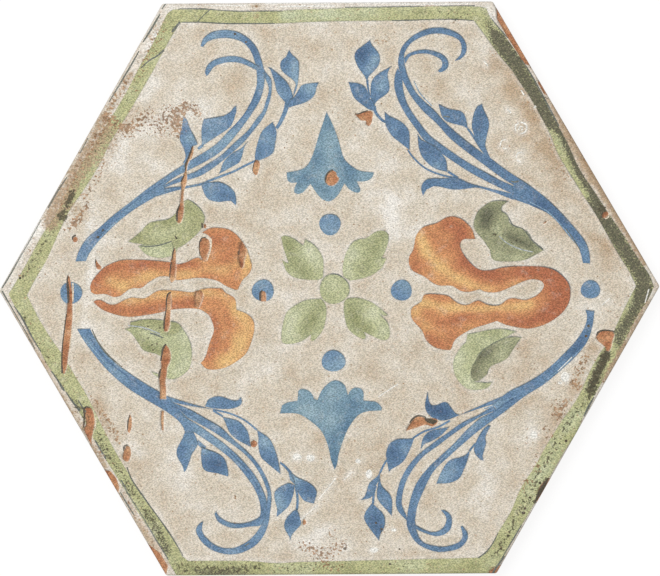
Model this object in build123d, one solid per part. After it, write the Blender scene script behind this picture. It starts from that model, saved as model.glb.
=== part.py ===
"""Hexagonal decorative wall and floor tile, pressed and fired as one piece.

Frame: millimetres, +Z up through the glazed face, origin at the middle of the bedding plane
underneath, two corners on the X axis and two flat sides square to the Y axis.
"""

from build123d import *
import math
import os

# Overall size
ACROSS_FLATS = 240.0
THICKNESS = 9.5

# Worn edges: the face falls gently towards each side and ends in a rounded arris
CORNER_RADIUS = 1.6
FALL_WIDTH = 4.5
FALL_DROP = 0.35
ARRIS_RADIUS = 1.2
BACK_CHAMFER = 0.8

# Keyed back: a honeycomb of shallow drafted pockets, which the adhesive grips
KEY_PITCH = 20.0
KEY_RIB = 4.0
KEY_DEPTH = 0.8
KEY_DRAFT_DEG = 35.0
KEY_MARGIN = 6.0

# Depth to which the glaze is broken away, down to the red body, and the lean of a chip's walls
GOUGE_DEPTH = 0.6
EDGE_CHIP_DEPTH = 1.0
CHIP_DRAFT_DEG = 38.0

# Gouges and chips in the face: place as a share of half the size across flats,
# length and width in millimetres, lean of the long way from +X in degrees
FACE_GOUGES = {
    "long_scratch": (-0.919, -0.117, 40.0, 3.4, 87.0),
    "upper_scratch": (-0.503, 0.366, 31.0, 2.2, 80.0),
    "flower_scratch": (-0.550, 0.090, 13.5, 2.2, 83.0),
    "petal_scratch": (-0.565, -0.078, 16.5, 2.6, 85.0),
    "lower_scratch": (-0.578, -0.305, 27.0, 3.2, 86.0),
    "petal_chip": (-0.432, 0.139, 10.0, 3.6, 80.0),
    "bell_chip": (0.014, 0.383, 5.2, 5.0, 90.0),
    "leaf_chip": (0.123, 0.594, 7.2, 4.6, 160.0),
    "stem_chip": (-0.251, 0.420, 6.2, 3.2, 82.0),
    "sprig_chip": (0.322, -0.470, 14.0, 4.4, 18.0),
    "border_chip": (0.956, -0.193, 8.4, 6.4, 120.0),
    "low_border_chip": (-0.844, -0.458, 13.5, 4.4, 100.0),
    "low_spot": (-0.709, -0.570, 7.2, 3.4, 85.0),
    "low_streak": (-0.697, -0.468, 8.4, 2.0, 80.0),
}

# Chips along the face's edges: the side, the place along it from its middle, counter-clockwise,
# as a share of half the side, and length and width in millimetres
EDGE_CHIPS = {
    "upper_right_chip": ("upper_right", 0.71, 26.0, 2.2),
    "upper_right_nick": ("upper_right", 0.38, 7.0, 1.8),
    "lower_left_chip": ("lower_left", 0.34, 8.0, 2.2),
    "lower_left_corner_chip": ("lower_left", 0.90, 11.0, 2.4),
    "lower_right_chip": ("lower_right", -0.40, 13.0, 3.4),
    "lower_right_corner_chip": ("lower_right", -0.94, 8.0, 2.6),
}

# The sides, counter-clockwise from the corner on +X
SIDE_NAMES = ("upper_right", "top", "upper_left", "lower_left", "bottom", "lower_right")
SIDES = len(SIDE_NAMES)
SIDE_TURN_DEG = 360.0 / SIDES
HALF_TURN = math.radians(SIDE_TURN_DEG / 2)
APOTHEM = ACROSS_FLATS / 2
HALF_SIDE = APOTHEM * math.tan(HALF_TURN)

# A chip's cutter stands this far above the face
CUTTER_OVERRUN = 1.0


def side_turns():
    """The turn from +X to each side's outward normal."""
    return [Rot(0, 0, SIDE_TURN_DEG * (side + 0.5)) for side in range(SIDES)]


def fall_cutter():
    """A wedge that takes the gentle fall off the face along the side at +X."""
    slope = math.degrees(math.atan2(FALL_DROP, FALL_WIDTH))
    inner_edge = Pos(APOTHEM - FALL_WIDTH, 0, THICKNESS)
    from_edge_up = (Align.MIN, Align.CENTER, Align.MIN)
    wedge = Box(2 * FALL_WIDTH, 4 * HALF_SIDE, 2 * FALL_WIDTH, align=from_edge_up)
    return inner_edge * Rot(0, slope, 0) * wedge


def slab():
    """The pressed blank: hexagon with rounded corners, falling face edge, worn arris and eased back edge."""
    outline = RegularPolygon(APOTHEM, SIDES, major_radius=False)
    outline = fillet(outline.vertices(), CORNER_RADIUS)
    blank = extrude(outline, THICKNESS)
    blank = chamfer(blank.faces().sort_by(Axis.Z)[0].edges(), BACK_CHAMFER)
    blank -= [turn * fall_cutter() for turn in side_turns()]
    walls = blank.faces().filter_by(lambda face: abs(face.normal_at().Z) < 0.01)
    rim = [wall.edges().sort_by(Axis.Z)[-1] for wall in walls]
    return fillet(rim, ARRIS_RADIUS)


def key_centres():
    """Middles of the pockets: as many rings round the centre one as the back's plain margin leaves room for."""
    row = KEY_PITCH * math.cos(HALF_TURN)
    pocket_reach = (KEY_PITCH - KEY_RIB) / 2 / math.cos(HALF_TURN)
    rings = int((APOTHEM - KEY_MARGIN - pocket_reach) / row)
    centres = []
    for j in range(-rings, rings + 1):
        for i in range(-rings, rings + 1):
            if abs(i + j) <= rings:
                centres.append(((i + j / 2) * KEY_PITCH, j * row))
    return centres


def key_pocket():
    """One drafted six-sided pocket, open downwards at the bedding plane, with corners towards +Y and -Y."""
    opening = RegularPolygon((KEY_PITCH - KEY_RIB) / 2, SIDES, major_radius=False, rotation=SIDE_TURN_DEG / 2)
    return extrude(opening, KEY_DEPTH, taper=KEY_DRAFT_DEG)


def scoop(length, width, depth):
    """A shallow chip's cutter: a slot along X with the given size at Z 0, whose drafted walls reach depth below."""
    opening = SlotOverall(length, width)
    return extrude(opening, -depth, taper=CHIP_DRAFT_DEG) + extrude(opening, CUTTER_OVERRUN)


def face_gouges():
    """Cutters for the scratches and chips within the face."""
    cutters = []
    for along_x, along_y, length, width, lean in FACE_GOUGES.values():
        place = Pos(along_x * APOTHEM, along_y * APOTHEM, THICKNESS)
        cutters.append(place * Rot(0, 0, lean) * scoop(length, width, GOUGE_DEPTH))
    return cutters


def edge_chips():
    """Cutters for the chips that break the face's worn edge."""
    turns = dict(zip(SIDE_NAMES, side_turns()))
    along_side = Rot(0, 0, 90)
    cutters = []
    for side, share, length, width in EDGE_CHIPS.values():
        place = Pos(APOTHEM, share * HALF_SIDE, THICKNESS)
        cutters.append(turns[side] * place * along_side * scoop(length, 2 * width, EDGE_CHIP_DEPTH))
    return cutters


def tile():
    """The finished tile."""
    body = slab()
    body -= [Pos(x, y, 0) * key_pocket() for x, y in key_centres()]
    body -= face_gouges()
    body -= edge_chips()
    return body


os.makedirs("parts", exist_ok=True)
finished = tile()
print("tile: solids", len(finished.solids()), "volume cm3", round(finished.volume / 1000, 2))
print("box", finished.bounding_box().size, "pockets", len(key_centres()))
export_step(finished, "parts/tile.step")
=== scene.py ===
"""A worn hexagonal painted tile, lying face up and seen from straight above.

The face is one fine mesh. Its ornament is drawn as outlines in photo pixels, laid out on the tile,
and cut into the mesh, so that every brushed shape, chip and gouge has its own edge. Colours and wear
are written on the mesh and finished by one procedural material. Lengths are in millimetres until the
mesh is made.
"""
import math

import bpy
import numpy as np
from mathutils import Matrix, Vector, geometry, kdtree


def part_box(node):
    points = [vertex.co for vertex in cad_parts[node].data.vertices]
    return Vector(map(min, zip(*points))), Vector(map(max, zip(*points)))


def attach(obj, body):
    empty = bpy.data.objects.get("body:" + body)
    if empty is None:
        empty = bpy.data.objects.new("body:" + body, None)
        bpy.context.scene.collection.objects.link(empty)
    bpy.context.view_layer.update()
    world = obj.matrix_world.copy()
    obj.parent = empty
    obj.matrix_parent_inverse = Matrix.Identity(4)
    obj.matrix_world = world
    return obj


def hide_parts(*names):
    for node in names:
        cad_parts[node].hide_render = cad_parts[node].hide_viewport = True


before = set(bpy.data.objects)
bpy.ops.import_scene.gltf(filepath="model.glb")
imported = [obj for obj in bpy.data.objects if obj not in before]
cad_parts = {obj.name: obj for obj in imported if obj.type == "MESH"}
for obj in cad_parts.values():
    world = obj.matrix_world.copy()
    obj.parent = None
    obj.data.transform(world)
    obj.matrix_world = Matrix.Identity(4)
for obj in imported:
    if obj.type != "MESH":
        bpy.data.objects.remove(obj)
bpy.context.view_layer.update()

# The photo's frame and how the tile lies in it
PHOTO_WIDTH = 660
PHOTO_HEIGHT = 576
TILE_CENTRE_PX = (329.5, 288.5)
MM_PER_PX = 0.41926
TILE_LEAN_DEG = 0.39

# The tile's sizes, taken from the solid or repeated from its design
LOW, HIGH = (np.array(corner) * 1000 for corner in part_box("tile"))
THICKNESS = HIGH[2] - LOW[2]
APOTHEM = HIGH[1]
CORNER_RADIUS = 1.6
FALL_WIDTH = 4.5
FALL_DROP = 0.35
ARRIS_RADIUS = 1.2
BACK_CHAMFER = 0.8
SIDE_TOP = THICKNESS - FALL_DROP - ARRIS_RADIUS

# How fine the mesh is
OUTLINE_STEP = 0.6
FIELD_STEP = 1.2
EDGE_STEP = 1.2
RIB_LEVEL = 0.05
GOUGE_DEPTH = 0.55
ARRIS_STEPS = (0.08, 0.3, 0.65, ARRIS_RADIUS)
WELD = 0.02
EDGE_GAP = 0.04
NARROWEST = 0.35
FAR_FROM_EDGES = 5.0
# The way towards the light, for the painted shade and painted highlight on the walls and rims of breaks
PAINTED_LIGHT_WAY = np.array([-0.8, 0.6])
# The way an edge faces where its drawn line is heaviest: painted relief shade on the edges of the paint
EDGE_SHADE_WAY = np.array([0.4, 0.92])

LEAN = math.radians(TILE_LEAN_DEG)


# Outlines in photo pixels. A bar marks a corner between two smooth arcs.
BORDER_OUTER = (
    "8.5,294 17,280 29,259 42,235 56,214 68,190 82,163 94,145 105,127 117,108 129,87 141,64 152,45"
    " 163,22 168,13 173,9.5 | 190,8.6 210,9.8 235,11 270,11.2 300,9.5 330,8.5 370,7 410,6.7 450,6"
    " 480,6.8 486,8 | 490,17 502,32 517,53 531,74 543,95 555,120 567,142 580,170 594,191 609,214"
    " 624,236 640,261 650,276 654,287 | 648,300 636,319 627,337 618,353 607,373 597,391 587,408"
    " 577,432 563.5,453 551,475 542,490 529,513 517,533 505,555 499,566 495,573 | 470,575.5 400,576"
    " 300,576.5 200,576.5 176,575 | 166,557 153,535 139,514 127,494 115,474 104,457 94,440 82,417"
    " 69,397 59,381 48,366 39,349 28,330 17,311"
)
BORDER_INNER = (
    "27,295 35,280 46.5,260 60,230 71,208 81,194 92,177 102,160 109,145 119,128 131,109 142,90 153,71"
    " 163,52 172,36 180,23 | 183,22.4 200,22.3 235,23.5 275,23.5 310,22 350,21 400,20.4 450,19.8 474,20.7"
    " | 486,37 499,55 511,69 521,84 531,99 540,115 549,132 558,154 570,174 583,195 596,215 608,236"
    " 620,257 630,273 636,286 | 628.5,300 618,322 609,341 600,353 590,371 578,397 561,422 546,446"
    " 535,466 521,488 510,513 499,531 491,545 484,554 478,557.5 | 450,558.5 400,559.6 350,560.7"
    " 300,562 275,563 250,561 210,560.8 188,560.8 | 182,556 174,540 162,523 151,507 140,491 129,474"
    " 118,456 106,434 97,416 86,394 74,374 62,354 50,337 39.5,320"
)

# Blue sprigs: stems, strands and leaves, one group for each corner of the field
UPPER_LEFT = {
    "strand_c": "158,189 174,187 187,185.8 201,183 | 206,181.5 206,183.5 | 201,185.5 187,188.2 174,191.2"
                " 158,196",
    "strand_b": "156,186 166,184 174,180 182,176.2 189,174 197,170.6 205.5,165.3 221.5,154.7 233.5,143.5"
                " 247,131.3 257,118 262.5,111 266.2,100 268.3,93 268.5,87 266.5,81.5 262,73 | 262,67"
                " 266,72.5 271.2,79.5 271.8,87.5 271.3,94.5 269.5,102 264.5,115.5 254.5,129.5 243,143"
                " 230,154.5 216,166 200,176 189,179.5 174,184 158,191",
    "stem": "75.5,261.5 78,253 82,245 88,237 96,230.5 113,215.5 131,201.5 149,187.5 166,176 186,163"
            " 202,153.5 216,144 228,131.5 241,118 250.5,102.5 256,88 257,80 255,63 249,48.5 240,41 223,38"
            " 208,41.5 203,47 | 200.5,46 203,39 212,32 228,30 242,34 255,45 261.5,60 264.5,74 264,86"
            " 260,100 253,112 242,127.5 229,143.5 217,154.5 202,163.3 190,169.5 175,177 164,185"
            " | 166,193.2 | 156,196.5 136,208.3 120,220.3 106,233.5 97,243 88.5,255 86,261",
    "small_scroll": "256,70 248,66 240,63 231,62.2 222,63.5 214,67 208,75 206.5,76 | 205,73 206,68"
                    " 209.5,63 215,59.5 223,57 232,56 240,57 252,62.5 258,66",
    "leaf_low": "183.3,116.5 187,120 189.5,127 196.5,141 197.5,144.5 | 193.5,146 190,155 186,165"
                " | 183,163 185.5,157 184.5,151 180,140 180,134 182,128",
    "leaf_broad": "204,119 217,117 224,115.5 230,112 234,107 236.2,106 | 236.5,111 233,122 229.5,127.5"
                  " 215,137.5 202,146 | 201.5,138 201.5,130 202.5,123",
    "leaf_under": "201,184 206,182.5 213,182 220,182 227,185 232,189 235,193 236.2,204 235.5,205.2"
                  " | 231,201 227,201 220,202 213,201 208,199 205,195 202.5,189",
    "leaf_inner": "247.5,142 244.5,147 241.5,158 239,162.5 227,169.5 219,174 | 221,169 222.5,164 226,159"
                  " 231,154 241,148.5",
    "leaf_tall": "255,161.5 255,155 257,145 261,133 264,129 272.5,122 | 274,125 276.5,131 275,145"
                 " 273.5,152 270,155.5 259,160.5",
    "trio_top": "289,49.8 291,53 298.3,61 299,66 298.5,78 296.5,89 293,97 | 293.5,93 295.5,84 293.5,80.5"
                " 284,73 281,69 280.2,64 282,60 286,57",
    "trio_left": "268,67 271,68 279,74.5 287.5,83 292.5,94 293,98 290,106 | 285.5,103 277,92 274.5,82"
                 " 270.5,70",
    "trio_right": "318.5,82.5 316.5,88 315,94 311,99 305,102.5 294,106 287,108 | 290,100 294,97 299,89"
                  " 301,86 305,84 312,83",
}
UPPER_RIGHT = {
    "strand_b": "398,68 395.5,73 394.3,80 394.5,88 398.5,101 407,116.5 417,130.5 423,139 436,149.5"
                " 451,160 467,170.5 483,179.5 499,187.5 515,195 | 513.5,186 501,180.5 485,172 469,163"
                " 453,152.5 437,141 430,135.5 417,119 407.5,104 403,88 402.5,79",
    "stem": "590,263.5 590,258 588.5,249 585,241 574,227 560,211.5 543,195.5 526,183 509,172 489,157"
            " | 484,154 471,144.5 458,134 445,122 434,110 420,97 414,89 406.5,72 404,57 405.5,51"
            " 412.5,42 427,35 435,33.7 443,34 455.5,38 459.5,41 461.3,45.5 461.3,51 460,55 454.5,61"
            " | 460,59.5 464,56 466.5,51 466.5,46 464,39.5 459,34 445,28 437,27.5 429,28.3 414,35"
            " 402,47 398.2,60 398.5,67 402.5,80 411,96 423,111 437,124 450,138.3 465,150.5 489,168.5"
            " 505,180 513.5,185 | 513,199 | 530,205 550,215 568,235 579,249 583,263",
    "small_scroll": "404,58 408,54 414,51.3 421,49.8 428,49.8 441,53.5 446,57.5 448.5,63 447.5,68"
                    " 444,71 440,72.3 437.8,71 | 441.5,67 442.3,63 440.5,59.5 430,54.3 423,53.5 416,54.3"
                    " 410,56.5 405,64",
    "leaf_under": "423,195.5 421.5,191 421.5,186 424,181.5 428.5,178.8 444,178.3 458,178 468,182.5"
                  " 482,187 | 475,187.5 460,189.5 452,189.5 438,186.5 431,186.7 427,189",
    "leaf_low": "482,104 483.5,109 488.5,120 489,126 486,140 485.5,146 490.5,158.5 | 484,154 477.5,145"
                " 473.5,133 472,128 472,122 475,110 477.5,106",
    "leaf_broad": "438.5,104 449,108.8 460.5,111 464,114 466,119 468,129 | 463,126 451,123 446,121"
                  " 442.5,117.5 440.5,112",
    "leaf_inner": "417.5,134 418.5,146 420,152 423,158 434,168 447.5,172 | 447,166 446,160 439,150.5"
                  " 433,145.5 421,139.5",
    "leaf_tall": "384.5,112 389,115.5 400,121 405,125 408.5,130 409.5,135 409.5,150 | 400,142.5 393,137"
                 " 388,130 385.5,125",
    "trio_top": "370,40 371.5,44 378.5,53 380,58 379,64 376,69 368.5,77 367.5,82 | 364.5,76 357.5,66"
                " 354.5,56 356.5,50.5 361,47",
    "trio_right": "391,66.5 389,70 387.7,74 389.5,89 387,93.5 377,101 374.5,105 | 371,100 370.5,89"
                  " 371.5,82 374.5,77 380,72.5",
    "trio_left": "348.5,82 358.5,83.3 362.5,85 366,88 369.5,98 | 372,100 374.8,105 374,111 | 368,109"
                 " 358,101.5 354,97.5 351.5,92",
}
LOWER_LEFT = {
    "strand_c": "168,396.5 184,401.5 201,406.5 214,409.5 | 200,407.5 190,406 173,402.5",
    "strand_b": "173,402.5 189,409 205,418 221,427.5 232,438 245,449.5 256,461 264,473 269.5,486 271.5,498"
                " 270,513 269,521 264.5,534 256,545 243,552.3 235,554.2 227,554.3 212,550 201,541 196,531"
                " 197,526.5 200,523 | 203,521.5 202,529 203.5,534 213,543.5 220,547 228,548.2 235,547.5"
                " 248,541 257.5,531 261,525 265,512 267,500 267.5,494 263,480 255,466 245,454.5 233,445"
                " 220,436 206,427.5 187,417.5",
    "stem": "90,328.5 95.5,339 104,352 115,362.5 130,373.5 146,384 168,396.5 | 173,402.5 187,418 | 200,426"
            " 214,436 228,446.5 242,460 254,474 262,488 266.5,500 266,512 261,525 251,526.5 236,528.2"
            " 229,527.3 218,521.5 214.5,514 | 216,511.5 219,516 229,522 243,523.3 256,519 260,515.5"
            " 259.8,503 254.5,489 245,475 233,461 220,450 206,440 193.5,432 | 185,432 183,427 179,421.5"
            " 167,412 145,399 129,389 115,377.5 103,365.5 93,353 84,341 77,329",
    "leaf_a": "205,406.5 208,400 212,397.5 217,396.2 223,397 233,400.3 238,400 241,397 | 242,401 241,404.5"
              " 236,407.5 229,409 213,408.5",
    "leaf_b": "222.5,417 236,420 241,423 247.5,431 251,447 | 241,442 235,438 230,433 225,422",
    "leaf_c": "257,430 267,436.5 271,441 276.5,454 279.3,466 280.5,474 | 276,470.5 266,462 261,457"
              " 258.3,445 258.5,438",
    "leaf_low": "185,432 182.5,438 176.7,450 177,456 182.5,466 184,472 | 186,470.5 190,460 191.5,455"
                " 197.5,445 197,440 193.5,432",
    "leaf_broad": "201.5,447 219,454 223,457 226,462 228.5,474 228,476.5 | 218,473.5 206,471 203,468"
                  " 201.5,462 201,455",
    "trio_right": "288,469 296,476.5 306,481 311,484 315,488 316.8,492 314,503.5 | 309,502.5 304,500.5"
                  " 298.5,493 294.5,484 | 290,480",
    "trio_left": "291,472 294.5,484 289,483 283,485 275,491.5 274.5,498 277,509 276.5,517 | 281,513.5"
                 " 289,505.5 293.5,494 294.5,486",
    "trio_bottom": "297,509 300.5,519 301,524 298,528 292,535 290.3,540.5 | 289,536.5 284.5,528 284.5,523"
                   " 286.5,518 293,511",
}
LOWER_RIGHT = {
    "strand_c": "503,396 493,400 475,408 460,415 | 466,413 484,407 493,404.5",
    "strand_b": "493,405.5 478,415 463,422 448,432.5 433,443 419,454 409,465 401,479 396.3,496 396,505"
                " 398,511 407,521 | 406.5,515.5 402,505 402,498 405.5,483 413,469 424,456 439,445 452,435"
                " 466,425.5 480,417 497,410",
    "stem": "585.5,310 587,316 586,323 583,330 574,343 561,356.5 545,371 526,383 508,392 493,404.5"
            " | 497,410 | 480,418 466,430.5 454,443.5 440,456.5 427,469 416,484 411,497 408,510"
            " 406.5,521 407.5,528 414,540 420,545.5 435,551.5 444,551.8 459,548.5 464,544.5 467.5,539"
            " 467.5,533 462.5,526 | 460.5,526.5 462.3,533 462,537.5 459.5,541.5 448,546 440,546.5"
            " 425,543 420,538.5 416,529 | 415,520 417.5,506 423,492 434,471 449,456.5 463,444 477,432"
            " 489,423 499,416 512,406 526,395.5 545,383.5 561,370 577,355 587.5,341 592.5,326 594.5,311",
    "small_scroll": "415.5,525 426,530.5 433,532 439,530.5 443.5,527 446,522 446,517 441,510.2 | 444,510"
                    " 448.5,512.5 451.5,517 452,522 451,528 447.5,532.5 442,535.3 435,536 421,531.5 416,529",
    "leaf_low": "488,425 482,431 475.5,443 474,449 475,453.5 481,460 483.5,460.5 | 482.5,456 486,443"
                " 485.5,437 490.5,426",
    "leaf_broad": "469.7,450.5 469,455 465,467 459.5,478 455,481 449,483 436.3,483.7 | 440,474 446,464"
                  " 450.5,459.8 461,457 465.5,455",
    "leaf_under": "460,415 456,413.5 450,406 447,402.5 444,402 436,405 432,405 429.5,402 427.5,392.5"
                  " | 425,403 425.5,409 428,414 431.5,417 441,420.5 447,420 455,417",
    "leaf_inner": "449,427 442,434.5 431,441.5 425,444 420.5,449.5 | 421.5,443 423,438 426,434 430,431"
                  " 443,428",
    "leaf_tall": "414.5,437.5 410,438.5 398,439 393,441 389,444.5 386,454 386.5,459 389,472 | 391,469.5"
                 " 401,463.5 405.5,458.5 411.5,446",
    "trio_left": "380,471.5 377.5,476 369.5,483 366,493 364,497 360.5,500 | 369,498.5 372,496.5 374,490"
                 " 378.5,481",
    "trio_right": "380,472 380,480 382,486 390,494.5 392,500 391.8,516 | 387.5,511 379,501.5 377,497"
                  " 377,490",
    "trio_bottom": "372,503 365.5,512 364,517.5 365.5,522 371.5,531 379,540.5 | 380,535 383,530 385,524"
                   " 384.5,517 382,512",
}
# Thin brushed lines: points along the line, each with its width
STALKS = {
    "upper_left": ["206,182,2.2 219,177,2.4 233,171.7,2.2 247,164.7,2.2 256,160.5,2", "203,145,3 198,149,2.6",
                   "276.5,128.5,3.2 280.5,122,3.8 286,109,4.4 287,103,4.6"],
    "upper_right": ["475,186,3 482,187.5,2.2 498,192,3.4 514,197,6", "467.5,128.5,2.2 471,133,2.2 478,144,2.2",
                    "448,171.5,2.5 458,178,2.5", "408,150,1.8 412,156,1.8 425,168,1.8 440,174.5,1.9 455,178,2",
                    "374.5,106,3 375.5,112,3 382,120,2.8 385.5,122,2.6",
                    "367.3,80,2.5 367.8,86,2 368.8,92,1.9 370,98,2.5"],
    "lower_left": ["213,409.5,1.9 230,413.5,1.8 245,420.5,1.8 257,430,2", "213,410.5,2 218,413.5,2 223,416.5,2",
                   "280,462.5,2 284,465.5,2.4 291,473,3", "197,441.5,4 201,445,4 205,448.5,4",
                   "295.5,485,2.5 297.5,498,2.5 297,510,2.5"],
    "lower_right": ["475.5,443.5,2 472,447.5,2 469.5,451,2.2", "450,420.5,2.2 438,427,2 424,431.5,2 413,438,2",
                    "387,460,2 384,464.5,2 380,473,2.2", "376,486,2.3 374,492,2.3 373,504,2.4"],
}

BELL_TOP = (
    "326.5,112 332,123 337.5,137 341.5,151 343.5,157 347,162 358,170 365,171.5 374,172.5 | 372.5,177"
    " 369,180 363,181.5 357,181.5 | 359,186 360.5,190 359,192.5 354,192 349,189 344.5,183.5 | 339,194"
    " 334,199 329,201.3 323.5,200 318,195 310.5,184 | 303,192.5 298,194 294.5,192.5 294.5,188 297,182.5"
    " | 292,183 288,181 286.5,172.5 | 298,170.5 304,168 308.5,163.5 314,151 318.5,136 323.5,121"
)
BELL_BOTTOM = (
    "317.5,400 322,390 331,381.5 336,380.3 341,382 345,386 348,395 | 350,391 353,388.3 357,387.5"
    " 361.5,389 363.5,392.5 363.5,400.5 | 375.5,401.5 379.5,404.5 382,408.5 381.5,410.5 | 369,411 362,413"
    " 356.5,417 348,429 343,441 339,453 336.5,466 334.5,469.5 | 331,460 328,446 322,432 316,425.5"
    " 302,415.5 295,413.3 280,413.5 | 282,405.5 286,403 297.5,400.5 | 298.3,391 300,389.3 304,389"
    " 308.5,390.5 312,394 314.5,399"
)
FLOWER_LEFT_UPPER = (
    "90,287 92,281 101,270 106,266 121,260 130,259.5 150,260 171,262.3 177,264 185,262.5 198,257.5"
    " 203,260.5 | 207,257 211,247 212,243 211.5,239 207,234.7 202,232.5 | 207.5,229 211,227.7 217,227.5"
    " 228,229 236,234 241.5,240.5 247,249 250.5,260 252,265 250,272.5 242,281 238,289.5 | 235,290 224,285"
    " 219,281.5 206,278.3 196,278 176,280 170,277 160,276.5 150,281.5 141,288 134,288 129,289.5 120,296"
    " 114,297 105,294 95,294.3 91,292"
)
FLOWER_LEFT_LOWER = (
    "93.5,302 96,300 101,300 109,304 115,304.3 125,299.5 131,297.5 145,298 155,292 160,290.3 175,290.3"
    " 192,292 204,288.5 217,288 222,288.5 225,292 233.5,297 235.5,300 236.5,309.5 | 246,313 251,317"
    " 254,322 254.5,328 252,340 247,352 242,357.5 229,366 221,368.7 213,369.7 206,368.5 200.5,363"
    " | 203.5,360 206,355 209.5,343 213.8,331 213.5,326 209,315.5 204,311.5 198,309 185,308.5 173,309.5"
    " 158,313 140,316 130,316.8 120,315.7 104,310.5 98,306.5"
)
FLOWER_RIGHT = (
    "475.5,239 472,229 467,223 461,218.5 454,216.3 447,217 437,222.5 424,226.5 419.5,230.5 416,236"
    " 413,250 409.5,256 408.7,262 410,267 413,271 424,276.5 433,283 439,285.5 452,286 461,291 468,292"
    " 480,289.3 | 484,291.5 490,292.5 498,292 512,286.5 526,280.5 533,279.3 541,281 543.7,284 543.5,287.5"
    " 537,295 531,298 525,299.7 513,298 508,299 500,304.5 494,305.3 487,304 478,300.3 468,304.5 462,304.3"
    " 456,301.5 448,295.5 443,294.5 429,293.7 424,295 421.5,301.5 | 413,306.5 411,310 411,315 412,319"
    " 422.5,331.5 426,340 434,347 440,349 446,350 450.5,349.5 454,341.5 457,338 471,329.5 486,324.5"
    " 497,321 | 506,325 521,328 530,328.5 547,323.5 561,314 566,308 569.5,301 570.5,294 570,287 567.5,281"
    " 557,271 550,268 542,266.5 525,266 505,266.7 490,270 482,270 476,267.5 467,258.5 461.5,250 460.3,245"
    " 461.5,241 465,239 470,239"
)
GREEN_LEAVES = {
    "left_upper_light": "138,246 143,244.6 157,244 171,240.5 | 178,248 173.5,255 168,257 160,258 147,255"
                        " 140.5,249",
    "left_upper": "128,241.5 139,233 149,223 156,221 169,218.5 177.5,211 184,201 188,199.5 199,207"
                  " 203,212.5 205,218 202,227 198.5,232.5 183,245.5 174,249.5 | 171,241.5 157,244.5"
                  " 149,245 134,243",
    "left_lower": "125,329 131,333 139,344 143,350 156,354 161,356.5 | 163,366 166.5,378 170,379.3"
                  " 176,378.5 187,371.5 190,367 192,354 189.5,340 182,327.5 178,323 172,321 | 160,332"
                  " 131,327",
    "left_lower_dark": "130.5,322 142,319.5 150,319 165,320.5 178,323 182,327.5 | 178,333 170,335"
                       " 150,330 130,327.5",
    "left_lower_tail": "151,371 160,374.5 | 158,377 154,375",
    "right_upper": "508,201 496,200.5 489,202.5 479,210 476,215 473.5,225 475.5,231 483,240 490,250"
                   " | 490.5,254 491.5,258 495,260.5 502,261.5 519,261 526,259.5 544,250 | 538.5,246"
                   " 534,242 528,232.5 524.5,229.5 514,225.7 510,223 508.5,218 507.5,215 501.5,210"
                   " 502,206.5",
    "right_lower": "467.5,334 480,331.5 497,328.7 506,329 516,331.5 | 510,335 500,341 487,348 477,360"
                   " 472,372 474.5,381 480,382 487,382.5 | 492,382 488,387.5 477,390 470,389.5 465,387.5"
                   " 456.5,378 453,366 454,359 461,347 466,342",
    "right_lower_dark": "521.5,337.5 515,336.5 508,337 493,343.5 481,352 473.5,364 471,370 471,376"
                        " 474.5,381 480,380.5 | 487.5,374 488.5,370 491,366.5 503,361 507.5,358 514,348",
}
CENTRE_LEAVES = {
    "upper_left": "323,278 323.5,264 322.5,257 315.5,246 305,239 | 303.5,245.5 | 295,239 289.5,236.5"
                  " 284.5,235.5 281,237 | 284,250 288.5,263 | 285.5,262 282,260 | 285.5,270 290,275"
                  " 296,278 311,280 318,280",
    "upper_right": "343.5,277 342.5,270 345.5,254 353,242 359,239 366,238 376,231.5 381.5,230.5 386,231.5"
                   " 388.5,235 388.5,241 384.5,253 382,257.5 | 386.5,258.5 | 382.5,267.5 372,275 358,279.5"
                   " 350,280.5",
    "lower_left": "321,298.5 308,299.5 301,302 288.5,310 285,316 281.5,332 281.5,340 283,343 290,344"
                  " 303,340.5 311,334.5 | 310.5,340 313,341 321,333 324,327 326.5,313 326,306 323.5,301",
    "lower_right": "344,302 347,298.5 353,297.5 360,298 374,303.5 388,315 | 384,316 379.5,313.5"
                   " | 387.5,322 389.5,328 390,334 388.5,338.5 384,340.3 379,339 364,332 | 366,336 365,339"
                   " 360,338 350,331 346.5,325 343.5,310",
}
# Round dots: centre and half sizes
DISC = (334.3, 289, 15, 15)
DOTS = [(71, 293, 11, 11), (263, 290.5, 11, 11), (401.5, 290.3, 10.5, 10.5), (590.5, 289.5, 9.8, 9.2),
        (330, 224.4, 10.7, 10.7), (333.5, 361, 12, 10.7)]
DOT_TONES = (0.25, 0.25, 0.25, 0.05, 0.25, 0.4)

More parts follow.
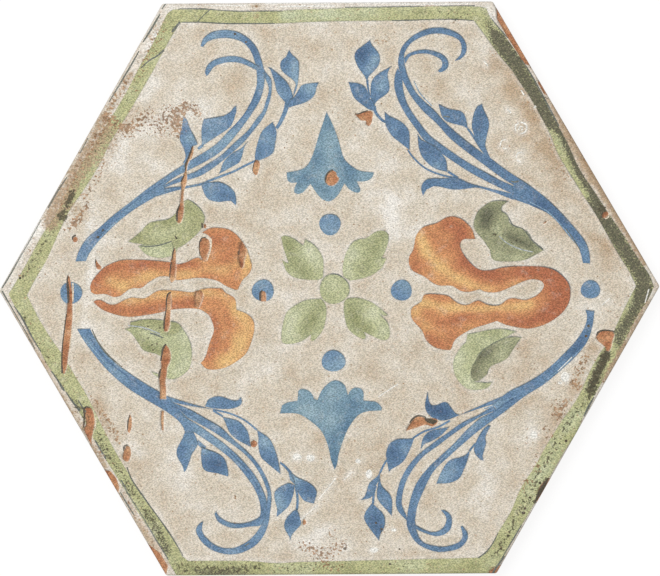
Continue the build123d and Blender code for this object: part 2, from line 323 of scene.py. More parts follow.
# Damage through to the fired body
GOUGES = {
    "long_scratch": "68.5,275.5 70,278 71,284 72,290 72.4,303 72.6,315 72,325 71.3,332 69.6,345 68,358 66.8,367"
                    " 64.5,374 | 62.3,373 61.8,362 62.2,350 63.5,338 65.2,325 66.7,313 67.5,303 66.8,290 66.4,280",
    "upper_scratch": "193.4,146 193.6,151 191.8,158 189,161.5 187,167 186.8,172 187,178 186.6,183 184.6,189"
                     " 183.6,196 183.6,203 183.8,210 182.8,217.5 181,222.3 | 178.8,223.5 176.4,221 176,215 177.6,209"
                     " 180,203 181,195 181.4,187 181,181.5 183,176 185,171 185,165 187.5,160 190,153 192,147",
    "flower_scratch": "174.6,247.5 175.8,252 176,262 175.6,272 175,280 | 171.5,283 169.4,278 170,270 170.6,262"
                      " 172,256 173,250",
    "petal_scratch": "170.5,292 171,298 170.8,308 170.3,318 169.5,327 167.5,331.5 | 164.5,331.5 163.5,326"
                     " 164.5,319 166,311 166,302 167,295",
    "lower_scratch": "165.5,344.5 168,347 170,351 170.8,356 170,362 167.6,367 166.6,375 165.6,382 166.2,391 166,399"
                     " | 160,399 160,390 159.4,380 160.4,372 161.4,366 161,360 162,353 163.4,348",
    "scratch_tail": "164,411 163.8,420 163.6,430.5 | 162,430.5 161,420 161.5,411",
    "petal_chip": "202,238.5 205.5,238 209,240 210,244 209.5,250 207.5,255 206,260 203.5,261 201,257 199.8,250"
                  " 199.8,243",
    "petal_edge_chip": "241.5,241 244,244 246.5,249 247,253 245.3,257 244,261 243.5,266 241.5,268.5 239.5,264"
                       " 238,257 238.6,250 240,245",
    "petal_nick": "195,291 200,290.5 203,293 201,303 198,308 195.5,306 194.5,298",
    "bell_chip": "333,170.5 336,172.3 337,176 339,178.3 338,181.5 335.5,184 333,185.6 328,185 326,182 325.6,178"
                 " 327,174.5 330,172",
    "leaf_chip": "355.5,114.8 358,113.8 362,112.6 366,111.2 371,111 373,113 372.5,118 371.5,123 369,126 366,124"
                 " 366,121 361,120.5 358,117.5",
    "stem_chip": "256,160 259.3,161.3 260,166 258.6,170.5 257,175 254.6,174.5 252.6,170.5 253.6,165",
    "dot_gouge": "261,301.5 261,295 262,291.5 264,291 265.8,293.5 266.2,301.5",
    "sprig_chip": "406,431 408,427 412,421 416,417.6 420,416.6 424,417.6 | 427,418.6 434,418.4 437.6,420 437.5,422.6"
                  " 433,426.5 430,426 427,425 423,425.5 415,428.4",
    "border_chip": "596,338 597,334.5 600,332 606,331 612,331.5 614.5,334 613.5,338 612,343 611,348 608.5,351.5"
                   " 606,350.5 605,347 601,343.5 598,341",
    "right_chip": "602,215.5 603.5,212.5 606.5,211.5 608.5,213 607.5,216 605,218 602.5,218",
    "low_border_chip": "85,409 88,407 91.5,408.5 93.8,414 94.6,421 94,428 92.6,434 91.6,440 92,445 | 89,441 86,434.5"
                       " 84,429.5 86,424 85.6,417",
    "low_spot": "126.5,445.5 129.5,446.5 131,452 130.5,457 128,461.5 125,461 122.6,458 124,451",
    "low_streak": "130,414 131.6,418 131.5,428 129.5,433.5 | 127.5,431 128,422",
    "dash_right": "543,224 544.5,222 547,221 546,223",
    "pit_left": "75.5,236.5 77.5,238 77.5,241 75,242.5 73,241 73,238",
    "pit_crescent": "96,259 98,263 101.5,267 101,269.5 98,269.5 96,266.5 95.3,262",
    "pit_lobe": "203.5,224 206,224.6 206.3,228 203.8,228.4",
    "pit_leaf": "254,440 257,442 257,445.5 254,447.5 251,446 251,442",
    "pit_low": "304,519 306,521 306,524 303.5,525 302.5,522",
}
# The shaded walls of breaks, and their bright far rims
SHADED_WALLS = [
    "192.6,146,1.4 190.6,152,1.8 188,159,1.8 185.6,165,2 185.3,171,1", "184.3,175,1.4 182.4,179,1.8 181,182,1.4",
    "180,204,0.9 178,209,1.8 176.9,214,2.2 177,221,1.8", "175,236,1.2 177,239,1.6",
    "174.3,248,1.2 172.6,254,1.6 172,260,1", "171.2,262,1.4 170.2,270,1.2 169.6,278,1",
    "171,292,1.2 168,294,1.6 166.6,299,1.4 166,310,1.2 164.4,320,1.8 163.8,329,1.4",
    "68,275.5,1.4 67.2,280,1.6 67.8,285,2.2 68.2,294,2.4 68.5,303,1.8",
    "66.4,314,1 65,325,1.2 63.3,338,1.2 62.2,350,1.4 61.8,362,1.6 62.2,373,2",
    "166,344,1.6 163.5,347.5,2 162,353,1.8 160.8,361,1.6", "160.8,369,1.6 159.3,374,2.4 159,379,1.2",
    "200,256,0.9 199.3,249,1 199.7,242,1.2 202,238,1.2 206,237.4,1",
    "239.2,249,1 238.8,255,1.2",
    "333,169.8,1.4 329,171.8,1.8 326.6,175,1.8 325.4,180,1.8 325.7,183,1",
    "355,114,1.2 359,113.8,1.4 363,112,1.4 368,110.6,1.2", "255.4,159.6,1 253.2,166,0.9 252.6,171,0.8",
    "262.6,290.4,1.4 260.6,292,1.8 259.9,297,1.8 260.2,301,1.2",
    "409.5,423,1.2 413,418.5,1.8 418,415.8,2 424,416.6,1.6 426,417.6,1.2",
    "424.5,418.6,1.6 429,420.6,4.4 433,421.6,4.6 437,421,2",
    "596.4,336,1.4 598,332.5,2 603,330.4,1.8 611,330.8,1.4 616,332.5,1",
    "90,407.5,1.2 86,407,1.8 84,409,1.8 84.5,416,2 84,423,2.2 83.2,428,1.4",
    "127.6,445,1.6 124.6,446,2 123.6,451,1.2", "129.6,415,1 128,422,1.4 127.5,430,1",
    "72.6,240,1.2 73,236.6,1.8 76,235.2,1.6", "95.8,259,1 95.4,263,1.2", "202,223,1.6 202.4,228,1.8",
    "548,478.5,1.4 543.5,486,4 539,494,3.4 535,502,1.4",
]
BRIGHT_RIMS = [
    "207,236.6,1.2 210.6,239,1.6 211.3,244,1.4 210.5,250,1.2 208.5,256,1.2 207,260.5,1",
    "72.8,283,1.4 73,293,1.6 72.8,302,1.2", "72.4,330,1 70.8,340,1.4 69.4,352,1", "609,213,1.2 608.3,217,1.4 605,219,1",
    "95,429,1.2 95.5,421,1.6 96,417,1",
]
# Pale veins of leaves, and the darker and lighter streaks of the brush along the stems
VEINS = ["128,325.5,1.2 145,328,1.4 160,334,1.2", "499,236,0.8 507,243,1 520,249,1.2 533,252,0.9"]
DARK_STREAKS = [
    "505,170,0.9 530,189,1.4 555,211,1.8 574,232,1.6 585,247,1", "470,146,0.9 490,161,1.2 510,176,1",
    "100,230,1 120,213,1.4 145,194,1.2 165,181,0.9", "228,133,0.9 246,112,1.2 256,92,1", "90,338,1 104,357,1.8 122,372,1.8 142,386,1",
    "165,403,0.9 185,412,1.4 205,424,1", "230,452,0.9 250,474,1.2 260,492,1", "590,322,0.9 580,341,1.4 564,358,1.6 545,374,1",
    "530,388,0.9 508,402,1.4 488,416,1", "455,446,0.9 432,467,1.4 418,488,1.2", "427,189,0.8 442,182.5,1 458,183,0.9",
]
LIGHT_STREAKS = [
    "530,202,0.8 548,212,1.1 566,231,1.2 578,246,0.8", "92,249,0.8 106,231.5,1.2 124,216,1", "200,161,0.8 220,150,1 236,133,0.9",
    "84,337,0.9 96,352,1.2 112,371,1", "200,433,0.9 222,447,1.2 244,470,1", "584,346,0.8 568,362,1.2 548,379,1",
    "516,396,1 500,403,1.6 484,409,1", "478,424,0.8 460,440,1.2 440,461,1", "414,81,0.8 420,93,1 432,106,0.8",
]
EDGE_CHIPS = {
    "upper_right": "496,2 504,15 524,49 534,66 | 524,64 517,52 508,38 497,19",
    "upper_right_nick": "540,76 553,97 | 544,94 538,83",
    "lower_left": "101.5,470 108.5,482 117.5,496 | 119.5,488 116,478 110,471",
    "lower_left_corner": "142.5,540 154.5,559 165.5,578 | 168,566 160,553",
    "lower_right": "554.5,477 548.5,488 537.5,507 | 536,497 541,485 547,479",
    "lower_right_corner": "503.5,564 497.5,575 490,580 | 489,571 495,567",
}
# Thin dark lines, cracks and scuffed edges: points along each, with widths
DARK_LINES = [
    "2,288,1.4 10,275,1.6 20,257,1.4 30,240,1.1 41,220,0.9", "48,208,1.6 57,192,1.8 67,177,1.1",
    "80,153,1.2 88,138,1", "109,102,1 121,82,1.6 134,60,1.5 139,51,1", "143,42,1.2 150,31,2 160,14,1.6",
    "162,9,1.2 165.5,3.5,1.4", "178,9,0.9 190,8.8,1.4 205,9,1.4 222,10.4,1 240,11.2,1.3 262,11,1.2 283,11,1",
    "345,7.2,1 375,7,1 400,6.6,1.2 424,6.3,0.9", "440,6,1 475,5.5,1",
    "182,22.3,1 200,22.2,1.2 222,23.4,1.4 250,23.6,1.3 275,23.4,1",
    "392,20.6,1 405,20.3,1.4 430,19.6,1 455,19.3,1.2 474,20.6,1",
    "197.5,22,0.9 203,16,0.9 210,9.6,1", "141,68,1.2 150,60,1.4 157,56,1.6 164,50,2.2",
    "172,32,2.4 176,27,2.6 180,22,2", "491,18,1 499,28,1.2 508,38,1",
    "522,60,1 531,74,1.4 542,94,1.6 552,113,1.6 559,126,1.2", "2,291,1.8 10,305,1.2 24,329,1 35,349,1",
    "14,306,1 22,318,2 32,337,1.6 41,352,1", "51,371,1.2 57,379,1.6 63,389,2.4 64.5,391,1",
    "66,392,1.2 72,401,1.8 80,411,2.6", "78,400,1 83,408,1.6 86,412,1.4", "150,333,1.4 158,335.5,1.6 163,338,1.2",
    "95,440,1.4 100,449,1.8 106,459,1.6", "121,480,1.4 130,497,1.2 141,514,1 155,538,1.4 168,559,1.2",
    "127,467,1.2 131,478,1.4 145,499,1.6 158,517,1.2 168,531,1.6 178,547,1.2 183,556,1",
    "120,492,1 127,504,1.6 134,515,1", "594,397,1.2 588,408,2.4 584,416,1.4",
    "505,556,1 501,561,2 494,571,2.2 492,576,1.5",
    "521.5,525,1 514.5,537,1.4 505,553,1.1 497,567,1", "498,533,0.9 491,546,1.2 485,553,1.6 478,558,1.2",
    "566,229,0.9 574,240,1 580,250,0.9", "140,246,1 150,246.4,1.2 162,244.6,1.2 172,241,1", "92,329.5,1 98,342,1.6 108,355,1.8 122,367,1.2", "443,116,1 450,117,1.2", "508.5,217,1.2 513,225,1.4 523,229,1.2 532,240,1.6 543,249.5,2",
    "519,181,1 514,182,1.6 511,181,1", "245,546,1 249,543.5,1.3",
]
CHALK_LINES = [
    "170,3,0.9 200,2.6,1.2 232,3.2,0.9", "205,5.6,0.8 245,5.6,1", "265,3.4,1.3 300,2.8,1.6 330,3.6,1",
    "335,2.6,1 380,2.8,1.2 410,3.4,0.9", "390,4.8,0.8 430,4.2,1 470,3.4,1", "280,6.5,1.4 310,6,1.8 335,6,1",
    "516,131,1.2 515.5,126,1.6 518.5,122.6,1.2", "520.5,122.2,1.4 525,123.6,1.8 526.8,128,1.2 524.5,132.4,1.6 520.5,133.6,1",
    "518.6,130,1 520,126.4,1.4 522.6,127,1 521.6,130.4,1.2",
    "500,147,1.4 501.5,141,1.2 505.5,139.5,1", "503,148,1.6 506.5,149,1.4", "516,158,1.2 518,153,1.4 522,152,1.2",
    "517,160,1.4 521,162,1.2", "507,109,1.4 511,113,1.6", "521,90,1.2 524,95,1.4", "484,61,1.2 488,66,1.4",
    "378,397,0.9 398,384,1.1", "344,480,0.9 352,472,0.9", "318,500,0.8 336,478,0.9", "300,520,0.8 318,505,0.8", "558,371,0.8 572,357,0.8", "602,305,1 610,298,1.1",
    "645,303,1.2 649,289,1.4", "536,106,2 534,108,2",
]
CHALK_SPOTS = [(297, 457, 4.5, 3.4), (310.5, 458, 4.2, 3.4), (369, 474, 3.2, 4.6), (358, 461, 2.6, 2.4), (565, 377, 4.2, 5),
               (534, 435, 3.4, 3.6), (374, 550, 4.4, 2.6), (560, 383, 2, 1.4), (155, 35, 2, 2.4), (394, 530, 2.6, 1.6)]
# Dark specks: centre and size
SPECKS = [
    (540, 483, 1.5), (525, 508.5, 1.5), (523.5, 513, 2), (508, 535.5, 1.3), (501, 548.5, 1.5), (530, 497.5, 1.4),
    (566, 441, 1.6), (345, 548.5, 1.8), (399.5, 549, 1.1), (390, 564, 1.4), (103, 230, 1.2), (98, 237, 1.6),
    (20, 278, 1.6), (588.5, 326, 1.6), (586, 336, 1.6), (376, 523, 1.3), (382, 529, 1.2), (235, 34, 1.4),
    (246, 42, 1.3), (152, 345, 1), (157, 344, 1), (153, 350, 1), (148, 338, 0.9), (148, 326.5, 1), (160, 328, 1),
]


# Colours as seen in sRGB, 0 to 255
def colour(red, green, blue):
    """A linear colour from its sRGB parts."""
    share = np.array([red, green, blue]) / 255
    return np.where(share <= 0.04045, share / 12.92, ((share + 0.055) / 1.055) ** 2.4)


GROUND = colour(217, 206, 187)
RIM = colour(222, 212, 196)
PALETTES = {
    "blue": (colour(76, 104, 136), colour(107, 138, 168), colour(150, 178, 194)),
    "bell": (colour(92, 126, 152), colour(127, 157, 173), colour(164, 188, 196)),
    "orange": (colour(178, 110, 78), colour(207, 145, 99), colour(229, 187, 126)),
    "leaf_light": (colour(150, 154, 110), colour(187, 191, 149), colour(210, 213, 182)),
    "leaf_olive": (colour(150, 152, 106), colour(176, 178, 134), colour(203, 206, 168)),
    "leaf_dark": (colour(102, 104, 84), colour(156, 158, 124), colour(192, 195, 158)),
    "border": (colour(154, 155, 108), colour(186, 187, 139), colour(200, 206, 170)),
    "clay": (colour(152, 92, 64), colour(192, 134, 96), colour(216, 172, 130)),
    "line": (colour(84, 88, 82), colour(112, 116, 108), colour(140, 148, 148)),
    "chalk": (colour(226, 222, 212), colour(240, 238, 230), colour(246, 245, 240)),
    # rim and wall colour the painted highlight on the far rims of breaks and the painted shade on their walls
    "rim": (colour(212, 194, 166), colour(226, 210, 186), colour(238, 228, 210)),
    "vein": (colour(146, 152, 150), colour(180, 186, 186), colour(206, 210, 206)),
    "wall": (colour(64, 60, 52), colour(92, 84, 74), colour(122, 108, 92)),
    "speck": (colour(52, 50, 44), colour(84, 76, 62), colour(120, 92, 70)),
}
# The back: ribs pale with dust, pockets darker with grime and painted shade
RIB_DUST = colour(226, 190, 156)
POCKET_GRIME_AND_SHADE = colour(160, 100, 72)
# How much lighter or darker each blue sprig was brushed
SPRIG_TONES = {"upper_left": 0.12, "upper_right": -0.25, "lower_left": 0.05, "lower_right": -0.1}


# Drawing: pixels to the tile, smooth arcs, strokes and rings

def to_tile(points):
    """Photo pixels to millimetres on the tile, +X right and +Y up the face."""
    across = (points[:, 0] - TILE_CENTRE_PX[0]) * MM_PER_PX
    up = (TILE_CENTRE_PX[1] - points[:, 1]) * MM_PER_PX
    turn, lift = math.cos(LEAN), math.sin(LEAN)
    return np.column_stack([across * turn + up * lift, up * turn - across * lift])


def read_points(text):
    """The numbers of a written run of points, one row for each point."""
    return np.array([[float(part) for part in point.split(",")] for point in text.split()])


def smooth(points, step):
    """A centripetal spline through points, sampled about every step along it."""
    if len(points) < 3:
        points = np.vstack([points[0], points.mean(axis=0), points[-1]])
    ends = [2 * points[0] - points[1], 2 * points[-1] - points[-2]]
    knots = np.vstack([ends[0], points, ends[1]])
    gaps = np.sqrt(np.linalg.norm(np.diff(knots[:, :2], axis=0), axis=1)) + 1e-6
    times = np.concatenate([[0], np.cumsum(gaps)])
    run = [points[:1]]
    for k in range(1, len(knots) - 2):
        length = np.linalg.norm(knots[k + 1, :2] - knots[k, :2])
        count = max(1, round(length / step))
        t = np.linspace(times[k], times[k + 1], count + 1)[1:, None]
        run.append(spline_span(knots[k - 1:k + 3], times[k - 1:k + 3], t))
    return np.vstack(run)


def spline_span(knots, times, t):
    """One span of a centripetal spline, between its second and third knots."""
    rows = list(knots)
    for level in range(1, 4):
        rows = [
            (rows[i] * (times[right] - t) + rows[i + 1] * (t - times[left])) / (times[right] - times[left])
            for i, left, right in spans(level)
        ]
    return rows[0]


def spans(level):
    """The knots that each blend of a spline span runs between, level by level."""
    return {1: ((0, 0, 1), (1, 1, 2), (2, 2, 3)), 2: ((0, 0, 2), (1, 1, 3)), 3: ((0, 1, 2),)}[level]


def ring(text):
    """A closed outline on the tile from written arcs."""
    arcs = [smooth(to_tile(read_points(arc)), OUTLINE_STEP) for arc in text.split("|") if arc.strip()]
    return even_ring(np.vstack(arcs))


def even_ring(points):
    """A closed outline with its long straight gaps filled."""
    filled = []
    for here, there in zip(points, np.roll(points, -1, axis=0)):
        count = max(1, round(np.linalg.norm(there - here) / OUTLINE_STEP))
        filled.append(here + (there - here) * np.arange(count)[:, None] / count)
    return np.vstack(filled)


def stroke(text):
    """The outline of a brushed line, from points with widths."""
    written = read_points(text)
    line = np.column_stack([to_tile(written), written[:, 2] * MM_PER_PX])
    line = smooth(line, OUTLINE_STEP)
    along = np.gradient(line[:, :2], axis=0)
    along /= np.linalg.norm(along, axis=1)[:, None]
    side = np.column_stack([-along[:, 1], along[:, 0]]) * line[:, 2:] / 2
    return even_ring(np.vstack([line[:, :2] + side, (line[:, :2] - side)[::-1]]))


def oval(centre_x, centre_y, half_x, half_y):
    """The outline of a round dot."""
    count = max(6, round(2 * math.pi * half_x * MM_PER_PX / OUTLINE_STEP))
    turn = np.linspace(0, 2 * math.pi, count, endpoint=False)
    wobble = 1 + 0.03 * np.sin(3 * turn + centre_x)
    return to_tile(np.column_stack([centre_x + half_x * wobble * np.cos(turn),
                                    centre_y + half_y * wobble * np.sin(turn)]))


class Motif:
    """One painted or broken shape: its outline, its palette, how strongly its edge line and painted edge shade are
    drawn.
    """

    def __init__(self, name, palette, outline, ink_and_shade=0.0, depth=0.0, tone=0.0):
        self.name = name
        self.palette = palette
        self.outline = outline
        self.ink_and_shade = ink_and_shade
        self.depth = depth
        self.tone = tone


def motifs():
    """Every shape of the face, from the lowest coat to the last damage."""
    shapes = [
        Motif("border", "border", ring(BORDER_OUTER), 0.35),
        Motif("field", None, ring(BORDER_INNER), 0.55),
    ]
    sprigs = {"upper_left": UPPER_LEFT, "upper_right": UPPER_RIGHT, "lower_left": LOWER_LEFT,
              "lower_right": LOWER_RIGHT}
    for corner, sprig in sprigs.items():
        for number, line in enumerate(STALKS[corner]):
            shapes.append(Motif(f"{corner}_stalk_{number}", "blue", stroke(line), 0.3, tone=SPRIG_TONES[corner]))
        for name, outline in sprig.items():
            shapes.append(Motif(f"{corner}_{name}", "blue", ring(outline), 1.0, tone=SPRIG_TONES[corner]))
    shapes.append(Motif("bell_top", "bell", ring(BELL_TOP), 0.6))
    shapes.append(Motif("bell_bottom", "bell", ring(BELL_BOTTOM), 0.7))
    shapes.append(Motif("flower_left_upper", "orange", ring(FLOWER_LEFT_UPPER), 0.9))
    shapes.append(Motif("flower_left_lower", "orange", ring(FLOWER_LEFT_LOWER), 0.7))
    shapes.append(Motif("flower_right", "orange", ring(FLOWER_RIGHT), 1.0))
    for name, outline in GREEN_LEAVES.items():
        palette = "leaf_light"
        if name in ("left_upper", "left_lower_dark"):
            palette = "leaf_olive"
        if name in ("right_upper", "right_lower_dark"):
            palette = "leaf_dark"
        shapes.append(Motif(f"leaf_{name}", palette, ring(outline), 0.9))
    for name, outline in CENTRE_LEAVES.items():
        shapes.append(Motif(f"centre_{name}", "leaf_light", ring(outline), 0.7))
    shapes.append(Motif("centre_disc", "leaf_light", oval(*DISC), 1.2))
    for number, (dot, tone) in enumerate(zip(DOTS, DOT_TONES)):
        shapes.append(Motif(f"dot_{number}", "blue", oval(*dot), 0.8, tone=tone))
    for number, line in enumerate(DARK_STREAKS):
        shapes.append(Motif(f"dark_streak_{number}", "blue", stroke(line), tone=-0.55))
    for number, line in enumerate(LIGHT_STREAKS):
        shapes.append(Motif(f"light_streak_{number}", "blue", stroke(line), tone=0.55))
    for number, line in enumerate(VEINS):
        shapes.append(Motif(f"vein_{number}", "vein", stroke(line)))
    for number, spot in enumerate(CHALK_SPOTS):
        shapes.append(Motif(f"chalk_spot_{number}", "chalk", oval(*spot)))
    for number, line in enumerate(CHALK_LINES):
        shapes.append(Motif(f"chalk_line_{number}", "chalk", stroke(line)))
    for name, outline in EDGE_CHIPS.items():
        shapes.append(Motif(f"chip_{name}", "clay", ring(outline), 0.9, GOUGE_DEPTH))
    for name, outline in GOUGES.items():
        shapes.append(Motif(name, "clay", ring(outline), 0.9, GOUGE_DEPTH))
    for number, line in enumerate(DARK_LINES):
        shapes.append(Motif(f"dark_line_{number}", "line", stroke(line)))
    # Painted shade on the walls of breaks, and painted highlight on their far rims
    for number, line in enumerate(SHADED_WALLS):
        shapes.append(Motif(f"wall_{number}", "wall", stroke(line)))
    for number, line in enumerate(BRIGHT_RIMS):
        shapes.append(Motif(f"rim_{number}", "rim", stroke(line)))
    for number, (x, y, size) in enumerate(SPECKS):
        shapes.append(Motif(f"speck_{number}", "speck", oval(x, y, size, 0.85 * size)))
    return shapes


# The mesh of the face

def hexagon_loop(inset):
    """Points round the tile's rounded outline, moved in by inset."""
    corner_distance = (APOTHEM - CORNER_RADIUS) / math.cos(math.pi / 6)
    points = []
    for k in range(6):
        corner = math.radians(60 * k)
        centre = corner_distance * np.array([math.cos(corner), math.sin(corner)])
        turn = corner + np.radians(np.linspace(-30, 30, 7))
        arc = centre + (CORNER_RADIUS - inset) * np.column_stack([np.cos(turn), np.sin(turn)])
        following = math.radians(60 * (k + 1))
        next_centre = corner_distance * np.array([math.cos(following), math.sin(following)])
        outward = np.array([math.cos(corner + math.pi / 6), math.sin(corner + math.pi / 6)])
        start = arc[-1]
        finish = next_centre + (CORNER_RADIUS - inset) * outward
        count = round(np.linalg.norm(finish - start) / EDGE_STEP)
        run = start + (finish - start) * np.arange(1, count)[:, None] / count
        points.append(np.vstack([arc, run]))
    return np.vstack(points)


def side_normals():
    """The way out of each side."""
    angles = np.radians(60 * (np.arange(6) + 0.5))
    return np.column_stack([np.cos(angles), np.sin(angles)])


def rounded_corners():
    """The way to each corner, and the middle of its rounding."""
    angles = np.radians(60 * np.arange(6))
    ways = np.column_stack([np.cos(angles), np.sin(angles)])
    return list(zip(ways, ways * (APOTHEM - CORNER_RADIUS) / math.cos(math.pi / 6)))


def inset_of(points):
    """How far each point lies inside the straight sides."""
    return APOTHEM - (points @ side_normals().T).max(axis=1)


def field_points(outlines):
    """A slightly uneven lattice over the face, kept off the outlines."""
    rng = np.random.default_rng(7)
    rows = int(APOTHEM / (FIELD_STEP * 0.866)) + 2
    columns = int(HIGH[0] / FIELD_STEP) + 2
    j, i = np.mgrid[-rows:rows + 1, -columns:columns + 1]
    lattice = np.column_stack([(i + 0.5 * (j % 2)).ravel(), (j * 0.866).ravel()]) * FIELD_STEP
    lattice += rng.uniform(-0.14, 0.14, lattice.shape) * FIELD_STEP
    lattice = lattice[inset_of(lattice) > ARRIS_RADIUS + 0.6]
    gap = nearest(outlines, lattice)[0]
    return lattice[gap > 0.62 * FIELD_STEP]


def nearest(targets, points):
    """The distance from each point to the nearest target, and that target's number."""
    tree = kdtree.KDTree(len(targets))
    for number, target in enumerate(targets):
        tree.insert((target[0], target[1], 0), number)
    tree.balance()
    found = [tree.find((x, y, 0)) for x, y in points]
    return np.array([f[2] for f in found]), np.array([f[1] for f in found])


def triangulate(shapes):
    """The face's points and triangles, with every outline as edges of the mesh."""
    groups = [hexagon_loop(0)] + [pulled_in(shape.outline) for shape in shapes]
    drawn = np.vstack(groups[1:])
    edges = []
    start = 0
    for group in groups:
        count = len(group)
        edges += [(start + k, start + (k + 1) % count) for k in range(count)]
        start += count
    loose = [hexagon_loop(inset) for inset in ARRIS_STEPS]
    loose.append(field_points(drawn))
    points = np.vstack(groups + loose)
    flat, faces = constrained(points, edges)
    middles = narrow_middles(shapes, flat, faces)
    return constrained(np.vstack([points, middles]), edges)


def constrained(points, edges):
    """The triangles over points that keep the given edges, all facing up."""
    found = geometry.delaunay_2d_cdt([Vector(p) for p in points], edges, [], 1, WELD)
    flat = np.array([tuple(v) for v in found[0]])
    faces = np.array(found[2])
    a, b, c = (flat[faces[:, k]] for k in range(3))
    area = (b[:, 0] - a[:, 0]) * (c[:, 1] - a[:, 1]) - (b[:, 1] - a[:, 1]) * (c[:, 0] - a[:, 0])
    faces[area < 0] = faces[area < 0][:, ::-1]
    return flat, faces


def narrow_middles(shapes, flat, faces):
    """Points along the middle of narrow shapes, where triangles would span from edge to edge."""
    paint = paint_of(shapes, flat[faces].mean(axis=1))
    on_line = np.zeros(len(flat), bool)
    on_line[boundaries(flat, faces, paint)[0]] = True
    sides = np.vstack([faces[:, [0, 1]], faces[:, [1, 2]], faces[:, [2, 0]]])
    owner = np.tile(paint, 3)
    sides.sort(axis=1)
    order = np.lexsort((sides[:, 1], sides[:, 0]))
    sides, owner = sides[order], owner[order]
    twin = (sides[:-1] == sides[1:]).all(axis=1) & (owner[:-1] == owner[1:])
    sides = sides[:-1][twin]
    sides = sides[on_line[sides].all(axis=1)]
    length = np.linalg.norm(flat[sides[:, 0]] - flat[sides[:, 1]], axis=1)
    return flat[sides[length > NARROWEST]].mean(axis=1)


def pulled_in(outline):
    """An outline that crosses the tile's edge, with its outer points brought just inside the edge."""
    result = outline.copy()
    for normal in side_normals():
        over = result @ normal - (APOTHEM - EDGE_GAP)
        result -= np.clip(over, 0, None)[:, None] * normal
    for way, centre in rounded_corners():
        away = result - centre
        reach = np.linalg.norm(away, axis=1)
        out = (away @ way > reach * math.cos(math.pi / 6)) & (reach > CORNER_RADIUS - EDGE_GAP)
        result[out] = centre + away[out] * ((CORNER_RADIUS - EDGE_GAP) / reach[out])[:, None]
    return result


def inside(points, outline):
    """Which points an outline goes round."""
    low, high = outline.min(axis=0), outline.max(axis=0)
    near = np.flatnonzero(((points >= low) & (points <= high)).all(axis=1))
    following = np.roll(outline, -1, axis=0)
    result = np.zeros(len(points), bool)
    for part in np.array_split(near, max(1, len(near) // 2000)):
        x, y = points[part, 0][:, None], points[part, 1][:, None]
        up = (outline[:, 1] <= y) & (following[:, 1] > y)
        down = (outline[:, 1] > y) & (following[:, 1] <= y)
        cross = (following[:, 0] - outline[:, 0]) * (y - outline[:, 1]) - (x - outline[:, 0]) * (
            following[:, 1] - outline[:, 1])
        result[part] = ((up & (cross > 0)).sum(axis=1) - (down & (cross < 0)).sum(axis=1)) != 0
    return result


def soft_field(strokes, points):
    """The sum of soft strokes: each has a strength, a reach in pixels and points it runs through."""
    total = np.zeros(len(points))
    for strength, reach, text in strokes:
        line = to_tile(read_points(text))
        if len(line) == 1:
            line = np.vstack([line, line + 0.01])
        gap = np.full(len(points), np.inf)
        for here, there in zip(line[:-1], line[1:]):
            along = there - here
            share = np.clip((points - here) @ along / (along @ along), 0, 1)
            gap = np.minimum(gap, np.linalg.norm(points - here - share[:, None] * along, axis=1))
        total += strength * np.exp(-(gap / (reach * MM_PER_PX)) ** 2)
    return total


def wander(points, scale):
    """A slow wave over the face, between 0 and 1, for lines that come and go."""
    x, y = points[:, 0] / scale, points[:, 1] / scale
    return 0.5 + 0.25 * (np.sin(x + 1.7 * np.sin(0.7 * y)) + np.sin(1.3 * y + 1.1 * np.sin(0.9 * x + 2)))


